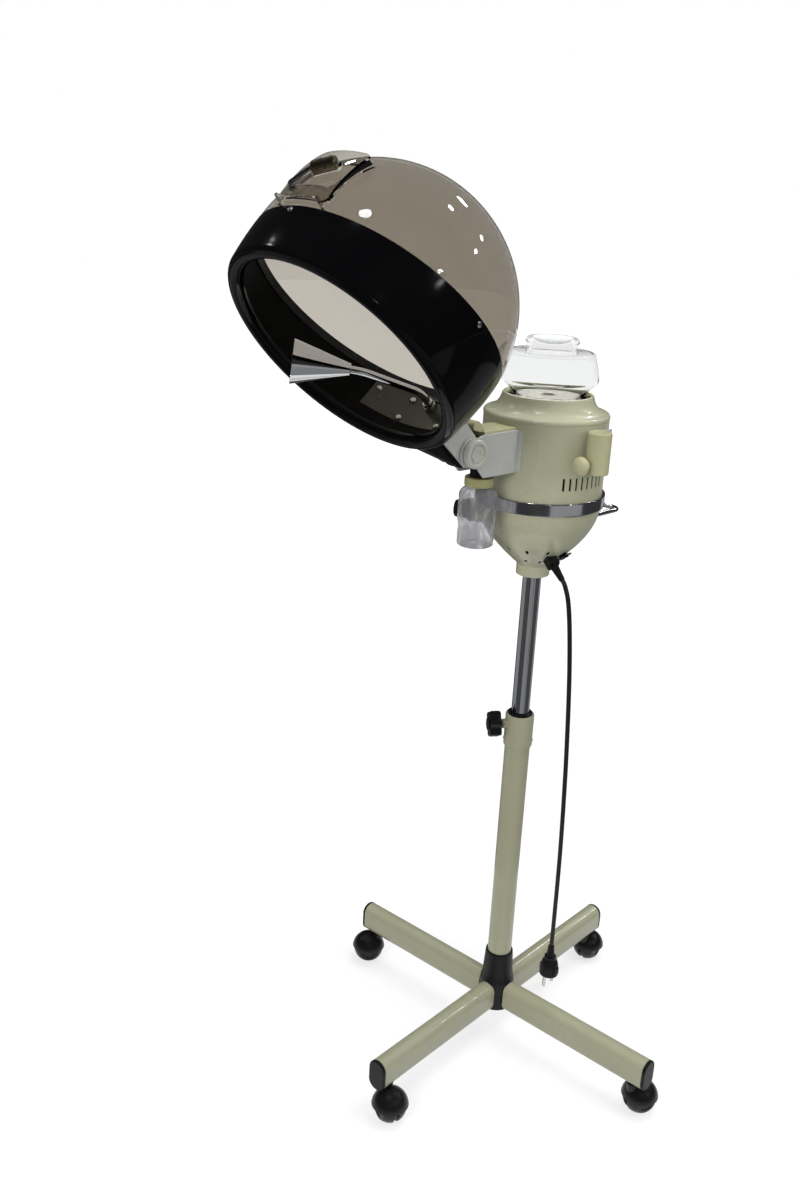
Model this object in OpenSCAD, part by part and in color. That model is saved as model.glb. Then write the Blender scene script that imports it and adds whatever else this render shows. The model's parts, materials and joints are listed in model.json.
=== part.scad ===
// Hair steamer on a rolling star base.
// Origin on the floor under the mast axis, +Z up, the hood points along -Y.
// The mast stands at its lowest height and the head faces -Y, 4.5 degrees off the base.

/* [Base] */
// Reach of a leg's end from the mast axis
leg_reach = 288; // [250:1:340]
// Height of the flat-oval leg tube
leg_h = 50; // [44:1:56]
// Width of the flat-oval leg tube
leg_w = 30; // [26:1:34]
// Wall of the leg tube
leg_wall = 2; // [1.5:0.5:3]
// Turn of the base under the head, in degrees
base_turn = 4.5; // [-45:0.5:45]
// Height of the hub's neck above the legs
hub_neck_h = 50; // [40:1:70]

/* [Casters] */
// Diameter of a caster wheel
wheel_d = 50; // [40:1:60]
// Distance from a caster's stem to its axle
caster_trail = 15; // [12:1:18]
// Radius of a caster's stem
stem_r = 5.5; // [4:0.5:6]
// Distance from a leg's end back to its caster stem
stem_inset = 24; // [20:1:30]
// Directions of the casters, right back left front, in degrees
caster_turns = [69.5, 96.5, 229.5, 343.5]; // [-360:1:360]

/* [Mast] */
// Height of the outer tube's top above the floor
tube_top = 576; // [480:1:680]
// Outer radius of the outer tube
tube_r = 19; // [17:0.5:22]
// Wall of the outer tube
tube_wall = 1.5; // [1:0.5:2.5]
// Outer radius of the chrome mast
mast_r = 13.5; // [11:0.5:15]
// Wall of the chrome mast
mast_wall = 1.5; // [1:0.5:3]
// Chrome mast that shows at its lowest height
mast_show = 218; // [60:1:300]
// Travel of the mast
mast_travel = 280; // [100:1:280]
// Height of the clamping collar
collar_h = 51; // [44:1:60]
// Wall of the clamping collar
collar_wall = 2.5; // [2:0.5:4]
// Direction of the clamping knob, in degrees
star_turn = 235; // [180:1:260]
// Radius of the clamping knob's lobes from its axis
star_r = 21; // [14:1:24]

/* [Steam unit] */
// Outer radius of the unit's casing
unit_r = 86.5; // [80:0.5:92]
// Wall of the casing and the bowl
unit_wall = 1.6; // [1.2:0.2:2.4]
// Height of the bowl from its neck's foot to the chrome band
bowl_h = 108.5; // [96:1:120]
// Radius of the bowl's neck
neck_r = 24; // [21:1:28]
// Height of the chrome band
trim_h = 18; // [14:1:24]
// Thickness of the chrome band
trim_t = 4.5; // [3:0.5:6]
// Height of the casing above the chrome band, up to its collar's rim
casing_h = 133.5; // [126:1:150]
// Radius of the casing's collar
rim_r = 62; // [58:1:66]
// Width of one vent slot
vent_w = 2.8; // [2:0.2:3.6]
// Height of one vent slot
vent_h = 18; // [12:1:22]
// Number of vent slots on each side
vents = 8; // [4:1:9]

/* [Boiler and jar] */
// Radius of the boiler's cup
boiler_r = 47; // [40:1:48]
// Depth of the boiler's cup
boiler_h = 100; // [70:1:120]
// Wall of the boiler
boiler_wall = 2; // [1.5:0.5:3]
// Largest radius of the glass jar
jar_r = 65; // [60:1:70]
// Height of the glass jar
jar_h = 80; // [76:1:92]
// Thickness of the glass
glass_t = 3; // [2:0.5:4]
// Radius of the jar's neck ring
jar_ring_r = 36; // [32:1:40]

/* [Arm] */
// Height of the tilt pivot above the floor at the lowest mast height
pivot_z = 998; // [996:1:1000]
// Distance from the mast axis to the tilt pivot
pivot_reach = 171; // [166:1:176]
// Outer half width of the unit's bracket
arm_half = 24; // [23:0.5:27]
// Thickness of the bracket plates
arm_plate = 3.5; // [3:0.5:4]
// Height of the bracket plates
arm_h = 58; // [54:1:62]
// Radius of the tilt bolt
bolt_r = 4; // [3:0.5:5]
// Radius of the tilt knob
tilt_knob_r = 19; // [17:0.5:22]
// Thickness of the tilt knob
tilt_knob_t = 10; // [8:1:14]
// Radius of the drain bottle
bottle_r = 27; // [22:1:28]
// Height of the drain bottle
bottle_h = 86; // [70:1:90]
// Distance from the mast axis to the drain bottle
bottle_reach = 128; // [126:1:130]

/* [Hood] */
// Radius of the smoked dome
dome_r = 164.6; // [160:0.2:168]
// Wall of the dome and the band
dome_wall = 3; // [2:0.5:4]
// Depth from the dome's centre to the lip
band_h = 68; // [60:1:76]
// How far the middle of the rolled lip lies inside the dome's radius
lip_in = 15.6; // [13.6:1:18.6]
// Radius of the lip's roll
roll_r = 9.5; // [8:0.5:11]
// Tilt of the hood's axis from upright at rest, in degrees
hood_tilt = 48.5; // [44:0.5:53]
// Distance from the dome to the tilt pivot
hood_gap = 75.4; // [71.4:1:79.4]
// Tilt of the seam between dome and band, in degrees
seam_tilt = 6.5; // [4:0.5:8]
// Height of the seam above the dome's centre
seam_z = 6.6; // [4:0.2:9]
// Half width of the vent flap
flap_half = 36; // [30:1:40]
// Height of the vent flap along the hood's axis
flap_h = 84; // [70:1:90]
// Angle at which the vent flap stands open at rest, in degrees
flap_rest = 6.5; // [5:0.5:8]

/* [Steam nozzle] */
// Outer radius of the steam pipe
pipe_r = 5; // [4:0.5:6]
// Wide radius of the cone nozzle
cone_r = 27; // [22:1:28]
// Length of the cone nozzle
cone_len = 70; // [60:1:75]
// Wall of the cone nozzle
cone_wall = 1.5; // [1:0.5:2]

/* [Accessory socket] */
// Radius of the socket's bore
socket_bore_r = 5; // [4:0.5:7]
// Depth of the socket's bore
socket_bore_h = 50; // [40:1:54]
// Outer radius of the socket
socket_r = 16; // [14:1:19]
// Height of the socket
socket_h = 56; // [54:1:66]
// Direction of the socket from the mast axis, in degrees
socket_turn = -8; // [-12:1:-4]

/* [Mains lead] */
// Diameter of the mains lead
cord_d = 6.5; // [5.5:0.5:7.5]

/* [Hidden] */
$fn = 96;
// Running clearance of shafts in their bores
run = 0.05;
// Gap between soft or faced pieces on different bodies
gap = 0.3;
// Overlap of cutting bodies past the faces they cut
cut = 1;

// Base heights, from the floor up
wheel_r = wheel_d / 2;
caster_clear = 5;
leg_z = wheel_d + caster_clear + leg_h / 2;
leg_foot = leg_z - leg_h / 2;
leg_crown = leg_z + leg_h / 2;
hub_r = 30;
hub_neck_r = tube_r + 2.4;
hub_foot = leg_foot - 1;
hub_top = leg_crown + hub_neck_h;
tube_seat = hub_foot + 18;
spigot_reach = 75;
cap_t = 5;
cap_plug = 45;
leg_end = leg_reach - cap_t;
stem_reach = leg_reach - stem_inset;
leg_bore_r = stem_r + 3;
hub_bolt_r = 5;
hub_bolt_head_r = 9;
hub_recess_r = 13;
hub_recess_h = 9;

// Caster: a web between two wheels under a ball-shaped shell
web_t = 6;
wheel_gap = 0.4;
wheel_w = 16.5;
axle_r = 3;
ball_r = wheel_r + 0.3;
shell_r = ball_r + 1;
shell_t = 2;
caster_boss_r = stem_r + 3.5;
// Sideways offset of a ball-shaped wheel's tread from the caster's middle
wheel_in = web_t / 2 + wheel_gap;

// Mast heights
bush_flange = 3;
tube_in = tube_r - tube_wall;
collar_r = tube_r + collar_wall;
collar_foot = tube_top - collar_h;
bush_sleeve = 40;
neck_z = tube_top + bush_flange + mast_show;
mast_foot_z = 165;
foot_plug = 12;
foot_len = 30;
neck_socket = 38;
mast_end = neck_z + neck_socket;
star_z = tube_top - 17;
star_screw_r = 4;
star_t = 18;
star_boss = 6;
star_face = collar_r + star_boss + 2;

// Unit heights
trim_z = neck_z + bowl_h;
casing_z = trim_z + trim_h / 2;
rim_z = trim_z + trim_h + casing_h;
shoulder_z = rim_z - 22;
neck_h = 16;
boss_wall = 8;
shaft_r = 3;
plate_t = 5;
seat_z = rim_z - 11;
seat_t = 3;
deck_z = seat_z + plate_t;
gasket_t = 2;
jar_z = deck_z + gasket_t;
jar_foot_r = jar_r - 19;
jar_hole_r = 8;
gasket_r = jar_foot_r - 1;
boiler_screw_r = rim_r - 11;
heater_t = 6;
handle_half = 61;
handle_reach = 108;
handle_r = 3.5;
handle_z = trim_z - 15.5;
knob_turn = 210;
knob_z = trim_z - 25.5;
knob_seat = unit_r + 8;
knob_h = 24;
switch_turn = 3;
switch_reach = 50;
switch_z = neck_z + 39.6;
switch_drop = 46;
slot_turn = -91;
gland_turn = -22;
gland_reach = 44;
gland_z = neck_z + 37;
gland_drop = 25;
gland_len = 18;
relief_len = 27;
vent_z = trim_z + trim_h + 16.5;
vent_first = -30;
vent_step = 6.4;

// Socket on the casing's side
socket_plate_t = 3;
// Reach of the plate's ear back along the casing
plate_reach = 38;
socket_face = unit_r + 0.5 + socket_plate_t;
socket_mid = socket_face + socket_r;
socket_z = neck_z + 170;
clamp_z = socket_z + 13;
clamp_r = 13.5;
clamp_screw_r = 3;

// Arm: bracket, drum and drain
arm_in = arm_half - arm_plate;
hood_plate = 3;
hood_half = arm_in - 0.5;
hood_in = hood_half - hood_plate;
pivot_end_r = 20;
drum_r = 22.5;
drum_half = 9;
yoke_r = drum_r + gap;
yoke_t = 3.5;
duct_r = 13;
duct_bore_r = 7;
duct_inner_r = 9;
arm_foot = pivot_z - 37;
arm_top = arm_foot + arm_h;
cap_h = 16;
cap_r = 19.5;
cap_z = arm_foot - 20;
bottle_z = cap_z + cap_h - 3 - gap - bottle_h;
bottle_neck_r = 16;
bottle_wall = 1.2;
cover_half = hood_in - 0.5;

// Hood, in its own frame: origin at the dome's centre, +Z along the hood's axis
// away from the opening, +Y towards the arm
hood_drop = 6;
hood_offset = dome_r + hood_gap;
lip_r = dome_r - lip_in;
lip_out = lip_r + roll_r;
// Place inside the wall from which the bracket and the duct run out
shoe_in = dome_r - 14.6;
plate_half = 90;
back_t = 1.5;
plate_low = -41;
plate_high = 14;
flange_t = 3;
flange_half = 42;
flange_low = -46;
flange_high = 12;
bolt_x = 34;
bolt_zs = [-36, -5];
rivet_xs = [57, 82];
rivet_zs = [8, -10];
rear_screw_r = 2.6;
rivet_r = 2.2;
rim_rivet_r = 1.8;
ring_half = 5;
riser_z = -8;
pipe_mid = [0, dome_r - 30.6, riser_z];
pipe_turn = 12;
cone_end = [-80, 11, -88];
flap_hinge = [0, -dome_r - 5.9, -10];
lug_t = 4;
flap_r = dome_r + 1.4;
flap_t = 2.5;
flap_pin_r = 2;
// A place over the front of the dome: turn, rise and distance from its skin
function over_dome(turn, rise, out) =
    (dome_r + out) * [sin(turn) * cos(rise), -cos(turn) * cos(rise), sin(rise)];
// Places on the flap's lever wire: foot, bend and end, with the flap closed
lever_r = 2.4;
lever_foot = over_dome(-5.84, 0.55, 12.2);
lever_bend = over_dome(-1.65, 8.02, 10.4);
lever_end = over_dome(8.13, 13.52, 9.9);
flap_grip_r = 8;
grip_len = norm(lever_end - lever_bend);

// Route of the mains lead, from the strain relief's tip down to the plug
cord_route = [
    [78.6, -31.8, 815], [84.5, -34.2, 812], [90, -36, 805], [95.5, -36.8, 793],
    [99.5, -36.6, 775], [102.3, -35.5, 752], [104.5, -33.5, 722], [106.3, -30.8, 685],
    [107.8, -27.8, 640], [109, -24.8, 590], [110, -22, 540], [110.8, -19.8, 490],
    [111.4, -17.8, 440], [111.8, -16.2, 390], [112, -15.2, 340], [112, -14.5, 295],
    [112, -14, 255], [112, -14, 231]
];
cord_steps = 2;
cord_sides = 10;
plug_top = 231;
plug_xy = [112, -14];

leg_names = ["right", "back", "left", "front"];

// Points of a cubic curve with n steps
function curve(a, b, c, d, n) = [
    for (i = [0:n]) let (t = i / n, s = 1 - t)
        s * s * s * a + 3 * s * s * t * b + 3 * s * t * t * c + t * t * t * d
];
function reversed(list) = [for (i = [len(list) - 1:-1:0]) list[i]];
function inward(list, by) = [for (p = list) [p[0] - by, p[1]]];
function unit(v) = v / norm(v);

// Flat-oval outline, width along X and height along Y
module flat_oval(w, h) {
    square([w, h - w], center = true);
    for (s = [-1, 1]) translate([0, s * (h - w) / 2]) circle(d = w);
}

// Turns children out along a leg, number 0 to 3
module at_leg(k) {
    rotate([0, 0, base_turn + 90 * k]) children();
}

// Bar of a flat-oval section along +X from x0 to x1 at the legs' height
module leg_bar(w, h, x0, x1) {
    translate([x0, 0, leg_z]) rotate([90, 0, 90]) linear_extrude(x1 - x0) flat_oval(w, h);
}

// Cylinder along +X from x0 to x1
module rod_x(r, x0, x1) {
    translate([x0, 0, 0]) rotate([0, 90, 0]) cylinder(r = r, h = x1 - x0);
}

module hub() {
    color("#1c1c1c") difference() {
        union() {
            rotate_extrude() polygon([
                [0, hub_foot], [hub_r - 1.2, hub_foot], [hub_r, hub_foot + 1.2], [hub_r, leg_crown - 2],
                [hub_neck_r + 2, leg_crown + 6], [hub_neck_r, hub_top - 1],
                [hub_neck_r - 1, hub_top], [0, hub_top]
            ]);
            for (k = [0:3]) at_leg(k)
                leg_bar(leg_w - 2 * leg_wall, leg_h - 2 * leg_wall, 0, spigot_reach);
        }
        translate([0, 0, tube_seat]) cylinder(r = tube_r, h = hub_top);
        translate([0, 0, hub_foot - cut]) cylinder(r = hub_recess_r, h = hub_recess_h + cut);
        translate([0, 0, hub_foot]) cylinder(r = hub_bolt_r, h = tube_seat);
    }
}

module leg(k) {
    color("#b9b79c") at_leg(k) difference() {
        leg_bar(leg_w, leg_h, 0, leg_end);
        leg_bar(leg_w - 2 * leg_wall, leg_h - 2 * leg_wall, -cut, leg_end + cut);
        translate([0, 0, leg_foot - cut]) cylinder(r = hub_r, h = leg_h + 2 * cut);
        translate([stem_reach, 0, leg_foot - cut]) cylinder(r = leg_bore_r, h = leg_w / 2);
    }
}

module leg_caps() {
    color("#1c1c1c") for (k = [0:3]) at_leg(k) difference() {
        union() {
            leg_bar(leg_w, leg_h, leg_end, leg_end + 2);
            leg_bar(leg_w - 2, leg_h - 2, leg_end, leg_reach);
            leg_bar(leg_w - 2 * leg_wall, leg_h - 2 * leg_wall, leg_end - cap_plug, leg_end);
        }
        translate([stem_reach, 0, leg_foot]) cylinder(r = stem_r + run, h = leg_h - leg_wall - 6);
    }
}

// Moves children to a caster's stem, turned so that +X points to the axle
module at_caster(k) {
    at_leg(k) translate([stem_reach, 0, 0])
        rotate([0, 0, caster_turns[k] - base_turn - 90 * k]) children();
}

module caster(k) {
    color("#1a1a1a") at_caster(k) {
        difference() {
            union() {
                cylinder(r = stem_r, h = leg_z + 8);
                translate([0, 0, wheel_r]) cylinder(r = caster_boss_r, h = leg_foot - gap - wheel_r);
                translate([caster_trail, web_t / 2, wheel_r]) rotate([90, 0, 0])
                    cylinder(r = wheel_r - 3, h = web_t);
                difference() {
                    translate([caster_trail, 0, wheel_r]) sphere(r = shell_r + shell_t);
                    translate([caster_trail, 0, wheel_r]) sphere(r = shell_r);
                    translate([-wheel_d, -wheel_d, -wheel_d])
                        cube([3 * wheel_d, 2 * wheel_d, wheel_d + wheel_r + 4]);
                }
            }
            translate([0, 0, -cut]) cylinder(r = wheel_d, h = wheel_r - 12 + cut);
            for (s = [-1, 1]) translate([-wheel_d, s * (wheel_in + wheel_d / 2), wheel_r])
                intersection() {
                    cube([4 * wheel_d, wheel_d, 2 * wheel_d], center = true);
                    translate([wheel_d + caster_trail, -s * (wheel_in + wheel_d / 2), 0]) sphere(r = shell_r);
                }
            translate([caster_trail, wheel_d, wheel_r]) rotate([90, 0, 0])
                cylinder(r = axle_r + run, h = 2 * wheel_d);
        }
    }
}

module wheels(k) {
    tread = [for (i = [0:8]) let (y = wheel_in + 0.6 + i * (wheel_w - 0.6) / 8)
        [sqrt(ball_r * ball_r - y * y), y]];
    color("#151515") at_caster(k) translate([caster_trail, 0, wheel_r]) rotate([90, 0, 0]) {
        for (s = [0, 1]) mirror([0, 0, s]) rotate_extrude()
            polygon(concat([[0, wheel_in], [wheel_r - 1, wheel_in]], tread,
                [[10, wheel_in + wheel_w], [8, wheel_in + wheel_w - 2], [0, wheel_in + wheel_w - 2]]));
        cylinder(r = axle_r, h = 2 * wheel_in + 2, center = true);
    }
}

module outer_tube() {
    color("#b9b79c") difference() {
        translate([0, 0, tube_seat]) cylinder(r = tube_r, h = tube_top - tube_seat);
        translate([0, 0, tube_seat - cut]) cylinder(r = tube_in, h = tube_top);
        star_bore(star_screw_r + run);
    }
}

// Bore for the clamping screw through the collar, the tube and the bush
module star_bore(r) {
    rotate([0, 0, star_turn]) translate([0, 0, star_z]) rod_x(r, mast_r / 2, star_face + 5);
}

// Places of the collar's two set screws
module at_set_screws() {
    for (a = [0, 180]) rotate([0, 0, 39 + a]) translate([0, 0, collar_foot + 8]) children();
}

module collar() {
    color("#b9b79c") difference() {
        union() {
            translate([0, 0, collar_foot]) cylinder(r = collar_r, h = collar_h - 1);
            translate([0, 0, tube_top - 1]) cylinder(r1 = collar_r, r2 = collar_r - 0.8, h = 1);
            rotate([0, 0, star_turn]) translate([0, 0, star_z]) rod_x(7, tube_r, collar_r + star_boss);
        }
        translate([0, 0, collar_foot - cut]) cylinder(r = tube_r, h = collar_h + 2 * cut);
        star_bore(star_screw_r + run);
        at_set_screws() rod_x(2.5, 0, collar_r + cut);
    }
}

module collar_bush() {
    color("#202020") difference() {
        union() {
            translate([0, 0, tube_top]) cylinder(r = tube_r - 0.8, h = bush_flange);
            translate([0, 0, tube_top - bush_sleeve]) cylinder(r = tube_in, h = bush_sleeve);
        }
        translate([0, 0, tube_top - bush_sleeve - cut])
            cylinder(r = mast_r + run, h = bush_sleeve + bush_flange + 2 * cut);
        star_bore(star_screw_r + run);
    }
}

module stand_screws() {
    color("silver") {
        at_set_screws() rod_x(2.5, tube_r, collar_r + 0.8);
        translate([0, 0, hub_foot + 3]) cylinder(r = hub_bolt_head_r, h = hub_recess_h - 3, $fn = 6);
        translate([0, 0, hub_foot + 3]) cylinder(r = hub_bolt_r, h = tube_seat - hub_foot + 12);
        translate([0, 0, tube_seat]) cylinder(r = hub_bolt_head_r, h = 8, $fn = 6);
    }
}

module star_knob() {
    color("#161616") rotate([0, 0, star_turn]) translate([0, 0, star_z]) {
        rod_x(star_screw_r, mast_r + gap, star_face + 2);
        translate([star_face, 0, 0]) rotate([0, 90, 0]) {
            linear_extrude(star_t) {
                circle(r = star_r - 5);
                for (i = [0:5]) rotate(60 * i) translate([star_r - 5, 0]) circle(r = 5);
            }
            translate([0, 0, star_t]) cylinder(r1 = star_r - 6, r2 = star_r - 8, h = 2);
        }
    }
}

module chrome_mast() {
    color("#d0d0d0") difference() {
        translate([0, 0, mast_foot_z]) cylinder(r = mast_r, h = mast_end - mast_foot_z);
        translate([0, 0, mast_foot_z - cut])
            cylinder(r = mast_r - mast_wall, h = mast_end - mast_foot_z + 2 * cut);
    }
}

module mast_foot() {
    color("#202020") {
        translate([0, 0, mast_foot_z - foot_len + foot_plug]) cylinder(r = tube_in - gap, h = foot_len - foot_plug);
        translate([0, 0, mast_foot_z]) cylinder(r = mast_r - mast_wall, h = foot_plug);
    }
}

// Outline of the bowl from the neck's foot to the chrome band
function bowl_line() = concat(
    [[neck_r, neck_z], [neck_r, neck_z + neck_h]],
    curve([neck_r + 3, neck_z + neck_h + 3], [neck_r + 34, neck_z + 0.42 * bowl_h],
        [unit_r - 2, neck_z + 0.68 * bowl_h], [unit_r, trim_z], 14)
);

// Solid inside the bowl's outer surface
module bowl_core() {
    rotate_extrude() polygon(concat([[0, neck_z]], bowl_line(), [[0, trim_z]]));
}

// Moves children onto the bowl, with +X out of its skin and down by drop degrees
module at_bowl(turn, reach, z, drop) {
    rotate([0, 0, turn]) translate([reach, 0, z]) rotate([0, drop, 0]) children();
}

module bowl() {
    skin = bowl_line();
    line = [for (i = [2:len(skin) - 1]) skin[i]];
    difference() {
        color("#b9b79c") union() {
            rotate_extrude() polygon(concat(skin, [[unit_r, casing_z], [unit_r - unit_wall, casing_z]],
                reversed(inward(line, unit_wall * 1.2)), [[mast_r + run, neck_z + neck_h + 2], [mast_r + run, neck_z]]));
            translate([0, 0, neck_z + 2]) cylinder(r = mast_r + boss_wall, h = neck_socket + 3);
            rotate([0, 0, knob_turn]) translate([0, 0, knob_z]) rod_x(15, unit_r - 16, knob_seat);
        }
        translate([0, 0, neck_z - cut]) cylinder(r = mast_r + run, h = neck_socket + 0.2 + cut);
        rotate([0, 0, knob_turn]) translate([0, 0, knob_z]) rod_x(shaft_r + run, unit_r - 20, knob_seat + cut);
        at_bowl(gland_turn, gland_reach, gland_z, gland_drop) rod_x(5, -14, 4);
        at_bowl(switch_turn, switch_reach, switch_z, switch_drop) cube([24, 13, 15], center = true);
        for (s = [-1, 1]) translate([s * handle_half, 0, handle_z])
            rotate([-90, 0, 0]) cylinder(r = handle_r, h = handle_reach);
        for (k = [0:11]) let (turn = slot_turn + 30 * k) if (abs(turn - switch_turn) > 14)
            at_bowl(turn, neck_r + 32, neck_z + 0.43 * bowl_h, 43) cube([14, 2.8, 8.5], center = true);
        for (k = [0:11]) let (turn = slot_turn - 6 + 30 * k)
            if (abs(turn - gland_turn) > 14 && abs(turn - switch_turn) > 14)
                at_bowl(turn, neck_r + 13.5, neck_z + 0.264 * bowl_h, 48) cube([12, 3.3, 5.6], center = true);
    }
}

module chrome_band() {
    color("#d8d8d8") translate([0, 0, trim_z]) difference() {
        union() {
            cylinder(r = unit_r + trim_t, h = trim_h - 1);
            translate([0, 0, trim_h - 1]) cylinder(r1 = unit_r + trim_t, r2 = unit_r + trim_t - 1, h = 1);
        }
        translate([0, 0, -cut]) cylinder(r = unit_r, h = trim_h + 2 * cut);
    }
}

module casing() {
    skin = concat([[unit_r, casing_z]],
        curve([unit_r, shoulder_z - 16], [unit_r, shoulder_z - 5], [unit_r - 2.5, shoulder_z - 1],
            [unit_r - 7.5, shoulder_z], 8),
        curve([unit_r - 8, shoulder_z], [unit_r - 17, shoulder_z + 2], [rim_r + 2, shoulder_z + 11],
            [rim_r, rim_z], 8));
    difference() {
        color("#b9b79c") union() {
            rotate_extrude() polygon(concat(skin, [[rim_r - 4, rim_z], [rim_r - 4, rim_z - 4]],
                reversed(inward(skin, unit_wall))));
            translate([0, 0, seat_z - seat_t]) difference() {
                cylinder(r = rim_r + 3.2, h = seat_t);
                translate([0, 0, -cut]) cylinder(r = boiler_r + 2, h = seat_t + 2 * cut);
            }
        }
        for (side = [0, 1], k = [0:vents - 1])
            rotate([0, 0, side * 180 + (1 - 2 * side) * (vent_first + vent_step * k)])
                translate([unit_r, 0, vent_z]) vent_slot();
        translate([0, 0, pivot_z - 6]) rotate([90, 0, 0]) cylinder(r = duct_inner_r, h = unit_r + cut);
    }
}

// Slot with round ends, cut through a wall that faces +X
module vent_slot() {
    translate([-6, 0, 0]) rotate([90, 0, 90]) linear_extrude(12) {
        translate([0, vent_h / 2]) square([vent_w, vent_h - vent_w], center = true);
        for (z = [vent_w / 2, vent_h - vent_w / 2]) translate([0, z]) circle(d = vent_w);
    }
}

module boiler() {
    color("#b8b8b8") difference() {
        union() {
            translate([0, 0, seat_z]) cylinder(r = rim_r - 5.5, h = plate_t);
            translate([0, 0, seat_z - boiler_h]) cylinder(r = boiler_r, h = boiler_h);
        }
        translate([0, 0, seat_z - boiler_h + boiler_wall])
            cylinder(r = boiler_r - boiler_wall, h = boiler_h - boiler_wall);
        translate([0, 0, seat_z - cut]) cylinder(r = jar_foot_r - 14, h = plate_t + 2 * cut);
        translate([0, 0, pivot_z - 6]) rotate([90, 0, 0]) cylinder(r = duct_bore_r, h = boiler_r + cut);
        at_boiler_screws() translate([0, 0, -cut]) cylinder(r = 2, h = plate_t + 2 * cut);
    }
}

module at_boiler_screws() {
    for (k = [0:7]) rotate([0, 0, 22 + 45 * k]) translate([boiler_screw_r, 0, seat_z]) children();
}

module boiler_screws() {
    color("#3a3a3a") at_boiler_screws() {
        cylinder(r = 2, h = plate_t);
        translate([0, 0, plate_t]) cylinder(r1 = 4, r2 = 3, h = 2);
    }
}

// Heating ring on the boiler's floor
module heater() {
    color("#8a8078") translate([0, 0, seat_z - boiler_h + boiler_wall + heater_t / 2])
        rotate_extrude() translate([boiler_r - 17, 0]) circle(d = heater_t);
}

module boiler_gasket() {
    color("#c8c2b8") translate([0, 0, deck_z]) difference() {
        cylinder(r = gasket_r, h = gasket_t);
        translate([0, 0, -cut]) cylinder(r = jar_foot_r - 14, h = gasket_t + 2 * cut);
    }
}

module jar() {
    ring_z = jar_h - 13;
    neck = jar_ring_r - 3;
    body = concat([[jar_foot_r, 0], [jar_foot_r + 1, 1]],
        curve([jar_r - 2, 21], [jar_r, 23], [jar_r, 25], [jar_r - 0.6, 28], 4),
        curve([jar_r - 7, jar_h - 25], [jar_r - 8, jar_h - 20], [jar_r - 11, jar_h - 19], [neck + 1, jar_h - 18], 6),
        [[neck, ring_z]]);
    hollow = [[neck - glass_t, jar_h - 18 - glass_t], [jar_r - 14, jar_h - 19 - glass_t],
        [jar_r - 8.5 - glass_t, jar_h - 27], [jar_r - 0.4 - glass_t, 27], [jar_r - 1.5 - glass_t, 22],
        [jar_foot_r - 2, glass_t + 0.5], [0, glass_t + 0.5]];
    color("#cfdadb", 0.45) translate([0, 0, jar_z]) difference() {
        union() {
            rotate_extrude() polygon(concat([[0, 0]], body, [[0, ring_z]]));
            translate([0, 0, ring_z]) cylinder(r = neck, h = 13);
            translate([0, 0, ring_z + 6.5]) rotate_extrude() translate([jar_ring_r - 6, 0]) circle(r = 6);
        }
        rotate_extrude() polygon(concat(hollow, [[0, jar_h - 18 - glass_t]]));
        translate([0, 0, jar_h - 24]) cylinder(r = neck - glass_t, h = 26);
        translate([0, 0, -cut]) cylinder(r = jar_hole_r, h = glass_t + 3);
    }
}

// U-shaped lifting handle at the back of the unit
module u_handle() {
    bend = 12;
    root = 42;
    color("#d8d8d8") translate([0, 0, handle_z]) {
        for (s = [-1, 1]) {
            translate([s * handle_half, root, 0]) rotate([-90, 0, 0])
                cylinder(r = handle_r, h = handle_reach - bend - root);
            translate([s * handle_half, root + 1, 0]) rotate([-90, 0, 0]) cylinder(r = handle_r + 3, h = 4);
            translate([s * (handle_half - bend), handle_reach - bend, 0])
                rotate([0, 0, s > 0 ? 0 : 90]) rotate_extrude(angle = 90) translate([bend, 0]) circle(r = handle_r);
        }
        translate([0, handle_reach, 0]) rod_x(handle_r, bend - handle_half, handle_half - bend);
    }
}

module regulator_knob() {
    color("#141414") rotate([0, 0, knob_turn]) translate([0, 0, knob_z]) {
        rod_x(shaft_r, unit_r - 34, knob_seat + 2);
        translate([knob_seat + gap, 0, 0]) rotate([0, 90, 0]) {
            cylinder(r = 17, h = 3);
            translate([0, 0, 3]) cylinder(r1 = 14, r2 = 11, h = knob_h - 3);
            translate([-14.5, -1.5, 2]) cube([6, 3, knob_h - 4]);
        }
    }
}

module regulator_body() {
    color("#6b5a3c") rotate([0, 0, knob_turn]) translate([0, 0, knob_z]) difference() {
        union() {
            rod_x(12, unit_r - 42, unit_r - 22);
            rod_x(6, unit_r - 22, unit_r - 16);
        }
        rod_x(shaft_r + run, unit_r - 34.2, unit_r);
    }
}

module switch_frame() {
    color("#1a1a1a") at_bowl(switch_turn, switch_reach, switch_z, switch_drop) difference() {
        union() {
            translate([-12, -6.5, -7.5]) cube([14, 13, 15]);
            translate([1.6, -8, -9]) cube([2.2, 16, 18]);
        }
        translate([-6, -4.5, -6]) cube([12, 9, 12]);
        translate([0, 10, 0]) rotate([90, 0, 0]) cylinder(r = 1.05, h = 20);
    }
}

// Rocker lies 8 degrees over, its pins in the frame's sides
module rocker() {
    color("#101010") at_bowl(switch_turn, switch_reach, switch_z, switch_drop) {
        translate([0, 6.2, 0]) rotate([90, 0, 0]) cylinder(r = 1, h = 12.4);
        rotate([0, 8, 0]) translate([0, 4.1, 0]) rotate([90, 0, 0]) linear_extrude(8.2) polygon([
            [-2, -3], [3.6, -5.2], [5.2, -5.0], [3.6, 0], [5.2, 5.0], [3.6, 5.2], [-2, 3]]);
    }
}

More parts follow.
